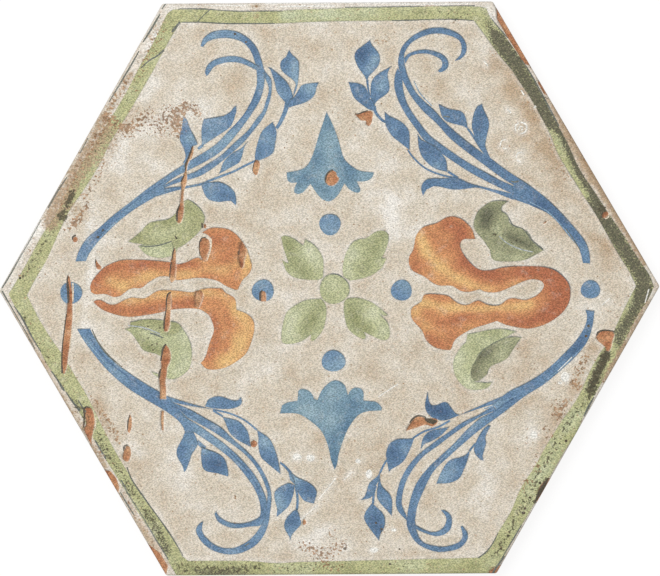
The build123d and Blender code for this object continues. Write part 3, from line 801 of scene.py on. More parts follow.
# Tones in each motif's own palette: strength, reach and path of soft brush marks
TONES = {
    "flower_left_upper": [
        (-0.8, 5, "93,286 102,273 120,265 150,264 195,265"), (0.6, 6, "125,284 150,275 190,273 225,268 246,262"),
        (-0.5, 10, "208,238 224,237 233,247 229,258"), (0.8, 5, "245,242 250,262 244,276"),
        (-0.3, 4, "205,276 225,280 236,286"), (0.4, 5, "110,282 122,288")],
    "flower_left_lower": [
        (0.7, 5, "125,301 160,295 205,292 225,296"), (-0.8, 6, "96,303 120,312 160,309 195,303"),
        (-0.7, 5, "212,317 218,330 214,346 208,356"), (0.9, 10, "240,308 247,328 238,350 224,362"),
        (-0.4, 3, "226,312 230,330 226,350")],
    "flower_right": [
        (1.0, 6, "421,236 426,252 438,266 455,277 470,285"), (0.5, 4, "478,288 500,288 520,281"),
        (-0.9, 10, "445,226 462,228 458,246 466,260"), (-0.6, 6, "413,252 414,266"),
        (-1.0, 9, "476,272 500,276 530,271 550,274"), (-1.4, 13, "556,276 564,296 556,312"),
        (0.8, 5, "422,302 440,306 470,310 505,308 530,304"), (0.5, 6, "416,313 425,325"),
        (-0.6, 5, "440,322 470,316 495,313"), (-0.6, 6, "430,338 446,345 452,338"),
        (-0.8, 7, "510,322 530,322 552,314")],
    "bell_top": [(-0.7, 6, "327,114 328,124"), (-0.7, 7, "345,158 352,172"), (-0.5, 7, "305,178 293,176"),
                 (0.4, 6, "329,135 330,160"), (-0.4, 5, "319,150 315,165")],
    "bell_bottom": [(0.5, 8, "300,406 318,412"), (0.4, 5, "331,390 330,420"), (-0.7, 8, "352,405 346,428"),
                    (-0.7, 7, "334,440 335,464"), (-0.3, 5, "372,406")],
    "leaf_right_upper": [(-0.9, 8, "487,211 484,224"), (-0.8, 9, "512,240 526,247"), (0.9, 3, "496,227 503,238 512,245 527,252"),
                         (0.6, 4, "498,257 520,258")],
    "leaf_right_lower": [(0.5, 8, "458,352 458,370 470,386"), (-0.4, 5, "480,335 505,331")],
    "leaf_right_lower_dark": [(-0.7, 6, "474,372 480,358 492,348"), (0.7, 7, "506,345 500,355")],
    "leaf_left_upper": [(-0.4, 7, "184,206 194,216 196,228"), (0.4, 7, "150,235 172,232"), (-0.4, 6, "140,238 152,226 172,220")],
    "leaf_left_upper_light": [(0.4, 8, "155,250")],
    "leaf_left_lower": [(-0.7, 6, "138,339 150,348 160,352"), (0.5, 7, "184,340 186,360 178,374"), (-0.4, 5, "160,342")],
    "leaf_left_lower_dark": [(-0.5, 4, "133,323 150,320.5 176,323")],
    "centre_upper_left": [(-0.7, 9, "287,243 294,262 306,275"), (0.6, 7, "308,250 317,264")],
    "centre_upper_right": [(-0.7, 8, "380,238 374,256 362,270"), (0.6, 8, "352,256 348,270")],
    "centre_lower_left": [(-0.7, 8, "318,306 310,322 303,336"), (0.6, 9, "292,318 287,335")],
    "centre_lower_right": [(-0.9, 9, "350,306 358,322 366,330"), (0.5, 8, "372,312 384,330")],
    "upper_right_trio_top": [(-0.6, 7, "361,52 364,64"), (0.8, 6, "375,60 368,70")],
    "upper_right_trio_right": [(0.7, 6, "386,76 382,88")],
    "upper_right_leaf_low": [(-0.5, 6, "480,112 480,128"), (0.4, 5, "486,125 484,140")],
    "upper_right_leaf_inner": [(0.5, 6, "437,165"), (-0.5, 6, "424,146")],
    "upper_right_leaf_tall": [(0.6, 6, "394,130"), (-0.4, 5, "403,132")],
    "upper_left_leaf_broad": [(0.35, 7, "212,132 206,142"), (-0.6, 6, "228,112 233,110")],
    "upper_left_leaf_low": [(0.5, 5, "190,138"), (-0.6, 6, "184,130")],
    "upper_left_leaf_under": [(-0.6, 5, "224,194 232,198"), (0.4, 5, "210,188")],
    "upper_left_trio_top": [(-0.5, 6, "286,64"), (0.6, 5, "295,68 296,80")],
    "upper_left_trio_right": [(0.5, 6, "310,88"), (-0.5, 5, "298,99")],
    "lower_left_leaf_low": [(0.6, 5, "188,455"), (-0.5, 6, "181,450")],
    "lower_left_leaf_broad": [(-0.8, 8, "208,460 220,468"), (0.5, 5, "206,452")],
    "lower_left_leaf_c": [(0.6, 6, "265,442"), (-0.5, 6, "272,462")],
    "lower_left_trio_right": [(-0.7, 6, "306,490 312,498"), (0.5, 5, "296,480")],
    "lower_left_trio_left": [(0.5, 6, "280,494 278,505"), (-0.4, 5, "290,488")],
    "lower_left_trio_bottom": [(-0.6, 6, "294,522")],
    "lower_right_leaf_under": [(-0.9, 8, "430,408 445,414")],
    "lower_right_leaf_tall": [(-0.7, 7, "392,452"), (0.5, 5, "404,448")],
    "lower_right_leaf_broad": [(0.5, 7, "452,468 442,480"), (-0.5, 5, "463,460")],
    "lower_right_leaf_inner": [(-0.6, 6, "430,436")],
    "lower_right_trio_bottom": [(-0.7, 7, "374,518 378,530"), (0.4, 5, "368,514")],
    "lower_right_stem": [(0.6, 7, "500,402 480,412 470,424"), (-0.5, 8, "585,335 572,352"), (-0.4, 8, "412,520 414,535")],
    "upper_right_stem": [(-0.5, 8, "535,200 560,222"), (0.4, 8, "582,245 587,258"), (-0.4, 8, "440,120 470,146")],
    "upper_left_stem": [(-0.5, 7, "96,238 112,224"), (0.5, 7, "215,150 235,132"), (0.4, 6, "215,36"), (-0.5, 6, "248,42 258,58")],
    "lower_left_stem": [(0.6, 8, "200,432 220,446"), (-0.4, 7, "150,390 165,402"), (0.3, 7, "110,368 125,382")],
    "border": [
        (0.9, 7, "285,16 300,16 330,15 350,15"), (0.5, 7, "365,14 385,14"), (0.5, 8, "420,567 400,567"),
        (-0.3, 8, "180,568 230,569 260,568"), (-0.4, 8, "345,568"), (0.4, 8, "280,570 310,570"),
        (0.6, 8, "550,455 530,490"), (0.6, 7, "575,412 565,430"), (0.3, 9, "90,412 100,432"), (-0.3, 7, "455,568 475,566")],
    "long_scratch": [(-0.6, 3, "70,285 70,310"), (-0.5, 3, "65,350 64,372"), (0.5, 2, "71,330")],
    "upper_scratch": [(1.0, 6, "192,152 187,170 184,190"), (-0.5, 6, "181,210 180,219")],
    "flower_scratch": [(-0.9, 4, "172,264 173,269"), (0.8, 4, "175,254"), (1.3, 6, "173,280")],
    "petal_scratch": [(0.9, 3, "170,296 170,308"), (-0.3, 4, "166,326")],
    "lower_scratch": [(-0.4, 6, "166,352 166,362"), (0.7, 6, "163,396")],
    "petal_edge_chip": [(-0.9, 3, "240,247 239.5,257 241,264"), (0.9, 3, "244.5,248 246,254")],
    "stem_chip": [(0.9, 5, "257,168")],
    "sprig_chip": [(-0.7, 5, "430,421"), (0.2, 4, "412,426")],
    "petal_nick": [(0.8, 6, "199,299")],
    "dot_gouge": [(1.0, 6, "263.5,297")],
    "low_spot": [(0.4, 5, "128,454")],
    "low_streak": [(0.6, 5, "130,424")],
    "scratch_tail": [(0.9, 8, "164,418")],
    "chip_lower_right": [(-1.0, 9, "543,487")],
}
# Wear, in the same way: dark grime on the border
GRIME = [
    (0.6, 7, "488,24 494,33"), (1.0, 11, "501,43 520,70 536,97 546,116"),
    (0.9, 5.5, "553,122 561,131 570,150 578,168 592,190 601,206"), (0.2, 8, "549,128 560,152 572,173 586,195"),
    (0.5, 5, "588,203 600,222"), (0.95, 11, "602,214 616,236 630,258 642,276 645,288"),
    (0.85, 9, "641,298 630,318 620,334"), (0.45, 6, "618,345"), (0.95, 6, "606,355 598,372 591,388"),
    (0.4, 6, "585,398"), (0.6, 6, "125,485 131,494"), (0.6, 9, "148,515 158,530 164,546"), (0.4, 8, "168,555 180,568"),
    (0.45, 5, "190,569 225,569 260,566"), (0.5, 4, "245,574 200,574"), (0.6, 4, "60,218 66,206 73,192"),
    (0.5, 6, "76,404 82,414"), (0.5, 6, "100,440 108,455"), (0.4, 8, "115,465"), (0.45, 5, "156,55 162,51"),
    (0.6, 4, "174,28"), (0.5, 4, "525,511 531,498"), (0.35, 7, "420,11"), (0.4, 5, "30,340 50,372 70,400"),
]
# A soft brown wash
WASH = [
    (1.2, 9.5, "50,222 62,200 76,174 90,151 103,128"), (0.7, 6, "104,118 112,103 122,87 130,75"), (0.6, 4.5, "152,37"),
    (0.5, 4, "142,54 148,52"), (0.6, 4, "161,21 156,28"), (0.5, 8, "103,165 115,145 120,130"),
    (0.6, 6, "75,209 83,211"), (0.45, 9, "135,112 142,122"), (0.45, 5, "34,240 26,252"),
    (1.0, 6, "556,106 576,142 592,170 608,197"), (0.85, 5, "612,206 630,236 645,262"), (0.5, 8, "526,104 535,118"),
    (0.45, 6, "549,138 553,150"), (0.5, 7, "558,164 566,178"), (0.35, 8, "500,66 492,52"), (0.35, 8, "385,39 375,42"),
    (0.8, 5, "60,398 72,416 86,432"), (0.9, 5, "92,446 104,466"), (0.5, 7, "103,418 110,428"),
    (0.7, 4, "646,302 630,334 612,365 604,378"), (0.6, 6, "573,383 580,388"), (0.45, 8, "585,360 583,372"),
    (0.4, 6, "118,488 140,522 160,556"), (0.35, 1.6, "175,4.4 240,4.6"), (0.3, 1.6, "245,6.8 330,5"),
    (0.35, 1.6, "340,4.4 440,5.2"), (0.5, 5, "256,8 256,16"), (0.4, 8, "600,238 606,246"),
]
# Brown specks
RUST = [
    (0.6, 8, "62,205 80,167 100,132"), (0.6, 7, "104,118 116,100 127,80"), (0.62, 6, "112,120 122,127"),
    (0.55, 4, "131,91 136,90"), (0.6, 8, "140,72 152,50 163,30"),
    (0.62, 6, "103,166 95,180 90,190"), (0.6, 6, "84,198 88,204"), (0.68, 5, "76,222 84,210"), (0.6, 6, "66,230 75,222"),
    (0.4, 8, "130,127 140,118 148,108"), (0.42, 16, "120,140 150,125 185,118"), (0.8, 4.5, "178,114 182,108 186,105"),
    (0.5, 6, "178,118 178,138"), (0.3, 14, "168,108 162,132"), (0.55, 6, "196,108 200,116"), (0.5, 5, "34,240 26,252"),
    (0.7, 4, "20,277 24,272"), (0.6, 4, "6,287"), (0.5, 6, "560,120 576,147 592,174"), (0.5, 8, "526,104 535,118"),
    (0.55, 6, "549,138 553,150"), (0.5, 7, "558,164 566,178"), (0.45, 8, "500,66 492,52"), (0.5, 6, "455,24 460,21"),
    (0.55, 7, "385,39 375,42"), (0.45, 6, "435,37"), (0.6, 5, "256,8 256,16"), (0.6, 6, "93,396 98,404"),
    (0.68, 7, "103,414 112,428 118,440"), (0.5, 7, "100,452 112,464"), (0.68, 8, "585,357 578,374"),
    (0.78, 5, "572,384 579,388"), (0.68, 7, "567,402 560,416"), (0.62, 5, "545,428 551,436"), (0.62, 4, "545,442"),
    (0.55, 5, "538,452 535,466"), (0.5, 5, "520,488 526,480"), (0.5, 7, "556,398 550,414"), (0.68, 10, "302,546 325,553 342,545"),
    (0.5, 8, "330,532"), (0.5, 6, "365,528 395,530"), (0.5, 7, "606,316 612,312"), (0.45, 7, "570,325"),
    (0.5, 3, "590,275"), (0.45, 6, "118,488 140,522 160,556"), (0.6, 3, "494,545"), (0.6, 3, "475,565"),
    (0.52, 7, "240,500 232,495"), (0.45, 7, "540,470 515,520"), (0.5, 8, "345,568 320,566"),
]
# Black flecks, on paint and ground alike
SOOT = [
    (1.3, 6, "62,216"), (0.95, 4.5, "68,204 73,192"), (0.55, 6, "52,230 36,258 22,280"), (0.5, 6, "120,118 105,140 95,155"),
    (0.42, 7, "140,75 128,100"), (0.42, 6, "156,50 164,36 176,24"), (0.4, 6, "200,15 260,17"), (0.42, 6, "410,12 470,12"),
    (1.1, 5.5, "606,354 598,371 592,388"), (0.58, 8, "590,396 575,412 560,436 540,472 515,520 495,556"),
    (0.9, 3.6, "428,421 434,421.5"), (0.95, 3, "600.5,210 603,208"), (0.7, 2.6, "548,479 535,503"),
    (0.6, 9, "178,567 215,569 258,568"), (0.5, 9, "278,568 310,567 345,566"), (0.4, 8, "372,567 410,566"),
    (0.5, 9, "487,213 496,234 518,244"), (0.42, 6, "478,372 482,356 496,346"), (0.6, 3, "97,238 104,230"), (0.55, 3, "589,325 586,337"), (0.5, 4, "376,524 382,530"), (0.45, 4, "200,530"),
    (0.57, 8, "78,404 100,440 132,490 165,545"), (0.45, 5, "560,130 578,168 600,206"),
    (0.65, 2.5, "503,14 518,40 531,64"), (0.55, 3, "538,82 551,104"), (0.4, 6, "445,22 470,20"), (0.45, 8, "20,312 60,380"),
]
# Light and dark clouds of the ground, and white flaking
CLOUDS = [
    (0.15, 14, "300,120 298,145"), (0.3, 14, "366,140 378,165"), (0.6, 16, "388,205 402,232"), (0.25, 22, "125,155 165,190"),
    (0.2, 12, "246,172 240,195"), (0.4, 14, "250,370 285,350"), (0.2, 12, "185,330 198,345"), (0.5, 10, "562,372"),
    (0.4, 10, "535,436"), (0.5, 16, "488,488"), (0.2, 20, "165,465 200,505"), (0.4, 14, "262,470 275,500"),
    (0.4, 14, "100,240"), (0.6, 16, "320,535"), (0.3, 14, "345,28"), (0.2, 12, "485,45"), (0.3, 10, "160,75 140,100"),
    (0.5, 8, "95,262 84,330"), (0.3, 10, "600,305 575,345"), (0.7, 7, "45,215 30,240"), (0.5, 6, "170,10 130,75"),
    (0.35, 12, "385,85"), (0.25, 16, "425,175 440,195"), (0.2, 14, "330,70"), (0.2, 16, "280,250 290,315"), (0.2, 14, "420,392"),
    (-0.65, 16, "505,65 525,105 550,158"), (-0.4, 12, "135,112"), (-0.1, 20, "232,80"), (0.2, 12, "150,146"), (-0.4, 12, "575,165 585,192"),
    (-0.3, 16, "300,490"), (-0.5, 14, "380,440"), (-0.3, 14, "455,385 470,408"), (-0.4, 12, "410,455"), (-0.2, 20, "340,450"),
    (-0.5, 16, "560,228 605,245"), (-0.35, 12, "98,405 112,435"), (-0.35, 14, "572,395 545,445"), (-0.3, 16, "530,350 520,385"),
    (-0.4, 14, "60,300"), (-0.3, 14, "440,85"), (-0.3, 10, "430,38"), (-0.2, 12, "350,372"), (-0.3, 12, "382,268"),
    (-0.9, 6, "545,100 575,150 605,198 640,258"), (-0.6, 5, "15,316 45,366 62,396"), (-0.6, 6, "120,490 165,560"),
    (-0.7, 5, "650,300 625,345 603,378"), (-0.3, 12, "580,328 606,360"), (-0.3, 15, "515,182 558,190"),
    (0.22, 18, "115,395 150,420 178,440"), (0.22, 16, "188,510 198,525"), (-0.22, 14, "150,482"), (0.22, 10, "238,545"), (0.3, 8, "298,558"),
    (0.2, 14, "335,80 385,75"), (0.16, 22, "360,120 380,170"), (0.2, 14, "305,290"), (0.25, 10, "538,138"),
    (0.14, 16, "470,535 490,525"), (0.15, 12, "488,380"), (-0.2, 14, "140,50 128,92"), (-0.2, 12, "235,40"),
    (-0.15, 20, "340,450 410,470"), (-0.25, 12, "388,538"), (-0.2, 10, "440,400 460,412"), (-0.2, 10, "305,118"),
    (-0.2, 12, "570,165"), (-0.2, 12, "625,265"), (-0.15, 10, "615,328"), (-0.15, 10, "75,325"), (-0.12, 16, "250,375"),
]
PALE = [
    (0.9, 5, "38,226 28,245 20,262"), (0.4, 6, "175,4 240,4"), (0.5, 5, "270,5 470,3"), (0.8, 9, "298,543 325,553 345,546"),
    (0.9, 4.5, "486,8 495,20"), (0.7, 6, "565,378"), (0.5, 7, "230,556"), (0.25, 10, "485,45 484,62"),
    (0.2, 14, "170,470 200,500"), (0.6, 6, "88,225 94,258"), (0.95, 15, "150,128 174,116 200,110"), (0.6, 10, "100,165 120,148"), (0.4, 8, "145,95 158,78"),
    (0.8, 4, "118,95 126,84"), (0.4, 8, "120,160 125,140"), (0.4, 5, "78,250 60,262"), (0.5, 5, "600,312 580,300"),
    (0.25, 8, "375,545 400,540"), (0.5, 8, "400,222 395,236"), (0.4, 8, "320,205 290,215"), (0.5, 6, "480,470 495,480"),
    (0.6, 5, "130,440 140,455"), (0.3, 4, "125,490 150,530 165,560"), (0.6, 6, "88,206 96,214 92,224"),
]


def paint_of(shapes, centres):
    """The number of the last shape that covers each triangle, or -1 on the bare rim."""
    paint = np.full(len(centres), -1)
    for number, shape in enumerate(shapes):
        paint[inside(centres, pulled_in(shape.outline))] = number
    return paint


def face_colours(shapes, paint, corners):
    """The colour of every corner of every triangle, from its shape's palette and tones."""
    result = np.empty((len(corners), 3))
    result[:] = RIM
    corner_paint = np.repeat(paint, 3)
    for number, shape in enumerate(shapes):
        chosen = corner_paint == number
        if not chosen.any():
            continue
        if shape.palette is None:
            result[chosen] = GROUND
            continue
        dark, middle, light = PALETTES[shape.palette]
        here = corners[chosen]
        tone = shape.tone + soft_field(TONES.get(shape.name, []), here) + 0.5 * (wander(here, 2.4) - 0.5)
        tone = np.clip(tone, -1, 1)[:, None]
        result[chosen] = np.where(tone < 0, middle + (middle - dark) * tone, middle + (light - middle) * tone)
    return result


def face_height(shapes, flat, faces, paint):
    """The height of every point of the face: its fall to the sides and the rounded arris."""
    inset = np.clip(inset_of(flat), 0, None)
    height = THICKNESS - FALL_DROP * np.clip(1 - inset / FALL_WIDTH, 0, 1)
    bend = np.clip(ARRIS_RADIUS - inset, 0, ARRIS_RADIUS)
    height -= ARRIS_RADIUS - np.sqrt(ARRIS_RADIUS ** 2 - bend ** 2)
    return height


def boundaries(flat, faces, paint):
    """The points where two paints meet, and the shape on top there."""
    lowest = np.full(len(flat), 10 ** 6)
    highest = np.full(len(flat), -2)
    for k in range(3):
        np.minimum.at(lowest, faces[:, k], paint)
        np.maximum.at(highest, faces[:, k], paint)
    met = np.flatnonzero(lowest != highest)
    return met, highest[met]


def edge_outward(flat, faces, paint, met, top):
    """The way out of the uppermost shape at each point where paints meet."""
    number = np.full(len(flat), -1)
    number[met] = np.arange(len(met))
    centres = flat[faces].mean(axis=1)
    outward = np.zeros((len(met), 2))
    for k in range(3):
        at = number[faces[:, k]]
        used = at >= 0
        away = centres[used] - flat[faces[used, k]]
        sign = np.where(paint[used] == top[at[used]], -1.0, 1.0)
        np.add.at(outward, at[used], away * sign[:, None])
    return outward / (np.linalg.norm(outward, axis=1)[:, None] + 1e-9)


def build_face():
    """The face's points, triangles and everything written on them."""
    shapes = motifs()
    flat, faces = triangulate(shapes)
    centres = flat[faces].mean(axis=1)
    paint = paint_of(shapes, centres)
    met, top = boundaries(flat, faces, paint)
    edge, which = nearest(flat[met], flat)
    outward = edge_outward(flat, faces, paint, met, top)
    broken = np.array([shapes[number].depth > 0 for number in top])
    # Breaks get painted shade on their upper-left walls, which face away from the light (wall), and a painted highlight
    # on their lower-right rims (glint)
    lit = outward @ PAINTED_LIGHT_WAY
    # Other edges get a drawn line, heavier where the edge faces up and to the right as painted relief shade
    dark = np.where(broken, 0.0, 0.3 + 0.7 * np.clip(outward @ EDGE_SHADE_WAY, 0, 1))
    wall = np.where(broken, np.clip(1.5 * lit, 0, 1), 0.0)[which]
    glint = np.where(broken, np.clip(-lit, 0, 1), 0.0)[which]
    ink_and_shade = np.array([shapes[number].ink_and_shade for number in top])
    ink_and_shade = (ink_and_shade * dark)[which] * (0.5 + 0.7 * wander(flat, 3.0))
    depth = np.zeros(len(flat))
    inner = np.full(len(flat), 10 ** 6)
    for k in range(3):
        np.minimum.at(inner, faces[:, k], paint)
    for number, shape in enumerate(shapes):
        if shape.depth:
            chosen = inner == number
            depth[chosen] = shape.depth * np.clip(edge[chosen] / 1.0, 0, 1)
    height = face_height(shapes, flat, faces, paint) - depth
    palettes = [shape.palette for shape in shapes]
    clay = np.array([p == "clay" for p in palettes] + [False])[paint]
    ground = np.array([p is None for p in palettes] + [True])[paint]
    band = np.array([p == "border" for p in palettes] + [False])[paint]
    corners = flat[faces].reshape(-1, 2)
    marks = {
        "edge": edge,
        "ink_and_shade": ink_and_shade,
        # glint and wall carry the painted highlight and painted shade of breaks
        "glint": glint,
        "wall": wall,
        "soot": np.clip(soft_field(SOOT, flat), 0, 1),
        "grime": np.clip(soft_field(GRIME, flat), 0, 1),
        "wash": np.clip(soft_field(WASH, flat), 0, 1),
        "rust": np.clip(soft_field(RUST, flat), 0.3, 1),
        "pale": np.clip(soft_field(PALE, flat), 0, 1),
        "cloud": np.clip(soft_field(CLOUDS, flat), -1, 1),
    }
    return {
        "points": np.column_stack([flat, height]),
        "faces": faces,
        "colours": face_colours(shapes, paint, corners),
        "clay": np.repeat(clay, 3).astype(float),
        "ground": np.repeat(ground, 3).astype(float),
        "band": np.repeat(band, 3).astype(float),
        "marks": marks,
    }


def build_back():
    """The keyed back and its chamfer, from the solid's own faces, with its rim loop in order."""
    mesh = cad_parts["tile"].data
    places = np.array([v.co for v in mesh.vertices]) * 1000
    keys, merged = np.unique(np.round(places, 4), axis=0, return_inverse=True)
    merged = merged.ravel()
    mesh.calc_loop_triangles()
    triangles = merged[np.array([t.vertices for t in mesh.loop_triangles])]
    low = (keys[triangles][:, :, 2] < BACK_CHAMFER + 0.001).all(axis=1)
    triangles = triangles[low]
    sides = np.vstack([triangles[:, [0, 1]], triangles[:, [1, 2]], triangles[:, [2, 0]]])
    pairs = {tuple(pair) for pair in sides}
    follow = {a: b for a, b in pairs if (b, a) not in pairs}
    return keys, triangles, follow


def around(points):
    """Where points lie round the outline, as an angle."""
    return np.arctan2(points[:, 1], points[:, 0])


def wall_between(lower, lower_ids, upper, upper_ids):
    """Triangles between two loops that run the same way round."""
    low_order = np.argsort(around(lower))
    up_order = np.argsort(around(upper))
    low_turn = around(lower)[low_order]
    up_turn = around(upper)[up_order]
    triangles = []
    i = j = 0
    count_low, count_up = len(low_order), len(up_order)
    while i < count_low or j < count_up:
        a, b = lower_ids[low_order[i % count_low]], upper_ids[up_order[j % count_up]]
        next_low = low_turn[i + 1] if i + 1 < count_low else low_turn[0] + 2 * math.pi
        next_up = up_turn[j + 1] if j + 1 < count_up else up_turn[0] + 2 * math.pi
        if j >= count_up or (i < count_low and next_low < next_up):
            triangles.append((a, lower_ids[low_order[(i + 1) % count_low]], b))
            i += 1
        else:
            triangles.append((a, upper_ids[up_order[(j + 1) % count_up]], b))
            j += 1
    return triangles


def tile_mesh():
    """The whole tile as one closed mesh, with its colours and marks."""
    face = build_face()
    back_points, back_faces, follow = build_back()
    top_count = len(face["points"])
    points = [face["points"]]
    used = np.unique(back_faces)
    renumber = {old: top_count + new for new, old in enumerate(used)}
    points.append(back_points[used])
    triangles = [face["faces"], np.vectorize(renumber.get)(back_faces)]
    rim = np.flatnonzero(inset_rounded(face["points"][:, :2]) < 0.01)
    levels = [SIDE_TOP - 1.0, 4.5, 2.2]
    start = top_count + len(used)
    upper, upper_ids = face["points"][rim, :2], rim
    wall = []
    for level in levels:
        ids = np.arange(start, start + len(rim))
        points.append(np.column_stack([face["points"][rim, :2], np.full(len(rim), level)]))
        wall += wall_between(upper, ids, upper, upper_ids)
        upper_ids = ids
        start += len(rim)
    loop = np.array(sorted(follow))
    loop_ids = np.array([renumber[v] for v in loop])
    wall += wall_between(back_points[loop][:, :2], loop_ids, upper, upper_ids)
    triangles.append(np.array(wall))
    return face, np.vstack(points), np.vstack(triangles), len(back_faces), len(wall)


def inset_rounded(points):
    """How far points lie inside the outline, its rounded corners included."""
    result = inset_of(points)
    for way, centre in rounded_corners():
        away = points - centre
        reach = np.linalg.norm(away, axis=1)
        in_corner = away @ way > reach * math.cos(math.pi / 6) - 1e-9
        result = np.where(in_corner & (reach > 0), np.minimum(result, CORNER_RADIUS - reach), result)
    return result


def make_tile(material):
    """The tile's object, with its attributes and bake layout."""
    face, points, triangles, back_count, wall_count = tile_mesh()
    mesh = bpy.data.meshes.new("painted_tile")
    mesh.from_pydata((points / 1000).tolist(), [], triangles.tolist())
    top_faces = len(face["faces"])
    corner_count = 3 * len(triangles)
    top_corners = 3 * top_faces
    back_end = top_corners + 3 * back_count

    def write(name, kind, domain, values, width):
        layer = mesh.attributes.new(name, kind, domain)
        key = "color" if width == 4 else "value"
        layer.data.foreach_set(key, np.ascontiguousarray(values, dtype=np.float32).ravel())

    colours = np.ones((corner_count, 4))
    colours[:, :3] = PALETTES["clay"][1]
    colours[:top_corners, :3] = face["colours"]
    colours[top_corners:back_end, :3] = back_colours(points[triangles[top_faces:top_faces + back_count]])
    write("paint", "FLOAT_COLOR", "CORNER", colours, 4)
    clay = np.ones(corner_count)
    clay[:top_corners] = face["clay"]
    write("clay", "FLOAT", "CORNER", clay, 1)
    for name in ("ground", "band"):
        values = np.zeros(corner_count)
        values[:top_corners] = face[name]
        write(name, "FLOAT", "CORNER", values, 1)
    for name, values in face["marks"].items():
        full = np.zeros(len(points))
        full[:len(values)] = values
        if name == "edge":
            full[len(values):] = FAR_FROM_EDGES
        write(name, "FLOAT", "POINT", full, 1)
    unwrap(mesh, points, triangles, top_faces, back_count)
    smooth_faces = np.zeros(len(triangles), bool)
    smooth_faces[:top_faces] = True
    mesh.polygons.foreach_set("use_smooth", smooth_faces)
    mesh.materials.append(material)
    mesh.update()
    tile = bpy.data.objects.new("painted_tile", mesh)
    bpy.context.scene.collection.objects.link(tile)
    return tile


def back_colours(faces):
    """The back's colour at every corner: pale dusty ribs, and pockets between them darkened with grime and painted
    shade.
    """
    raised = faces[:, :, 2].max(axis=1) < RIB_LEVEL
    return np.repeat(np.where(raised[:, None], RIB_DUST, POCKET_GRIME_AND_SHADE), 3, axis=0)


def unwrap(mesh, points, triangles, top_faces, back_count):
    """The bake layout: the face large, the back small below it, the sides in rows beside that."""
    width = 2 * HIGH[0]
    corners = points[triangles].reshape(-1, 3)
    place = np.empty((len(corners), 2))
    top = slice(0, 3 * top_faces)
    place[top] = [0.5, 0.615] + 0.88 * corners[top, :2] / width
    back = slice(3 * top_faces, 3 * (top_faces + back_count))
    place[back] = [0.155, 0.116] + 0.26 * corners[back, :2] / width
    wall = corners[3 * (top_faces + back_count):].reshape(-1, 3, 3)
    middle = wall.mean(axis=1)
    side = np.floor(np.degrees(np.arctan2(middle[:, 1], middle[:, 0])) / 60).astype(int) % 6
    turn = np.radians(60 * side + 30)
    along = wall[:, :, 1] * np.cos(turn)[:, None] - wall[:, :, 0] * np.sin(turn)[:, None]
    u = 0.31 + 0.34 * (side % 2)[:, None] + 0.33 * (along / HIGH[0] + 0.5)
    v = 0.01 + 0.07 * (side // 2)[:, None] + 0.06 * wall[:, :, 2] / THICKNESS
    place[3 * (top_faces + back_count):] = np.stack([u, v], axis=2).reshape(-1, 2)
    layer = mesh.uv_layers.new(name="OFBake")
    layer.data.foreach_set("uv", place.astype(np.float32).ravel())


# Materials

class Graph:
    """Short names for the shader nodes of one material."""

    def __init__(self, tree):
        self.tree = tree
        tree.nodes.clear()

    def node(self, kind, **settings):
        made = self.tree.nodes.new(kind)
        for key, value in settings.items():
            setattr(made, key, value)
        return made

    def put(self, socket, value):
        if isinstance(value, bpy.types.NodeSocket):
            self.tree.links.new(value, socket)
        else:
            socket.default_value = value

    def attribute(self, name, output="Fac"):
        return self.node("ShaderNodeAttribute", attribute_name=name).outputs[output]

    def math(self, operation, a, b=0.0, clamp=False):
        made = self.node("ShaderNodeMath", operation=operation, use_clamp=clamp)
        self.put(made.inputs[0], a)
        self.put(made.inputs[1], b)
        return made.outputs[0]

    def noise(self, place, size_mm, detail=2.0, rough=0.5):
        made = self.node("ShaderNodeTexNoise")
        self.put(made.inputs["Vector"], place)
        self.put(made.inputs["Scale"], 1000 / size_mm)
        self.put(made.inputs["Detail"], detail)
        self.put(made.inputs["Roughness"], rough)
        return made.outputs[0]

    def span(self, value, low, high, to_low=0.0, to_high=1.0):
        made = self.node("ShaderNodeMapRange", interpolation_type="SMOOTHSTEP")
        self.put(made.inputs["Value"], value)
        self.put(made.inputs["From Min"], low)
        self.put(made.inputs["From Max"], high)
        self.put(made.inputs["To Min"], to_low)
        self.put(made.inputs["To Max"], to_high)
        return made.outputs[0]

    def worn(self, mark, noise, bare, covered, most, soft=0.03):
        """How much a kind of wear covers, broken up by noise, from where its mark is none to where it is full."""
        gate = self.span(self.attribute(mark), 0, 1, bare, covered)
        return self.span(self.math("SUBTRACT", noise, gate), -soft, soft, 0, most)

    def mix(self, share, a, b, blend="MIX"):
        made = self.node("ShaderNodeMix", data_type="RGBA", blend_type=blend)
        self.put(made.inputs[0], share)
        self.put(made.inputs[6], rgba(a))
        self.put(made.inputs[7], rgba(b))
        return made.outputs[2]


def rgba(value):
    """A socket, or a colour with its alpha."""
    if isinstance(value, bpy.types.NodeSocket):
        return value
    return (*value, 1.0)


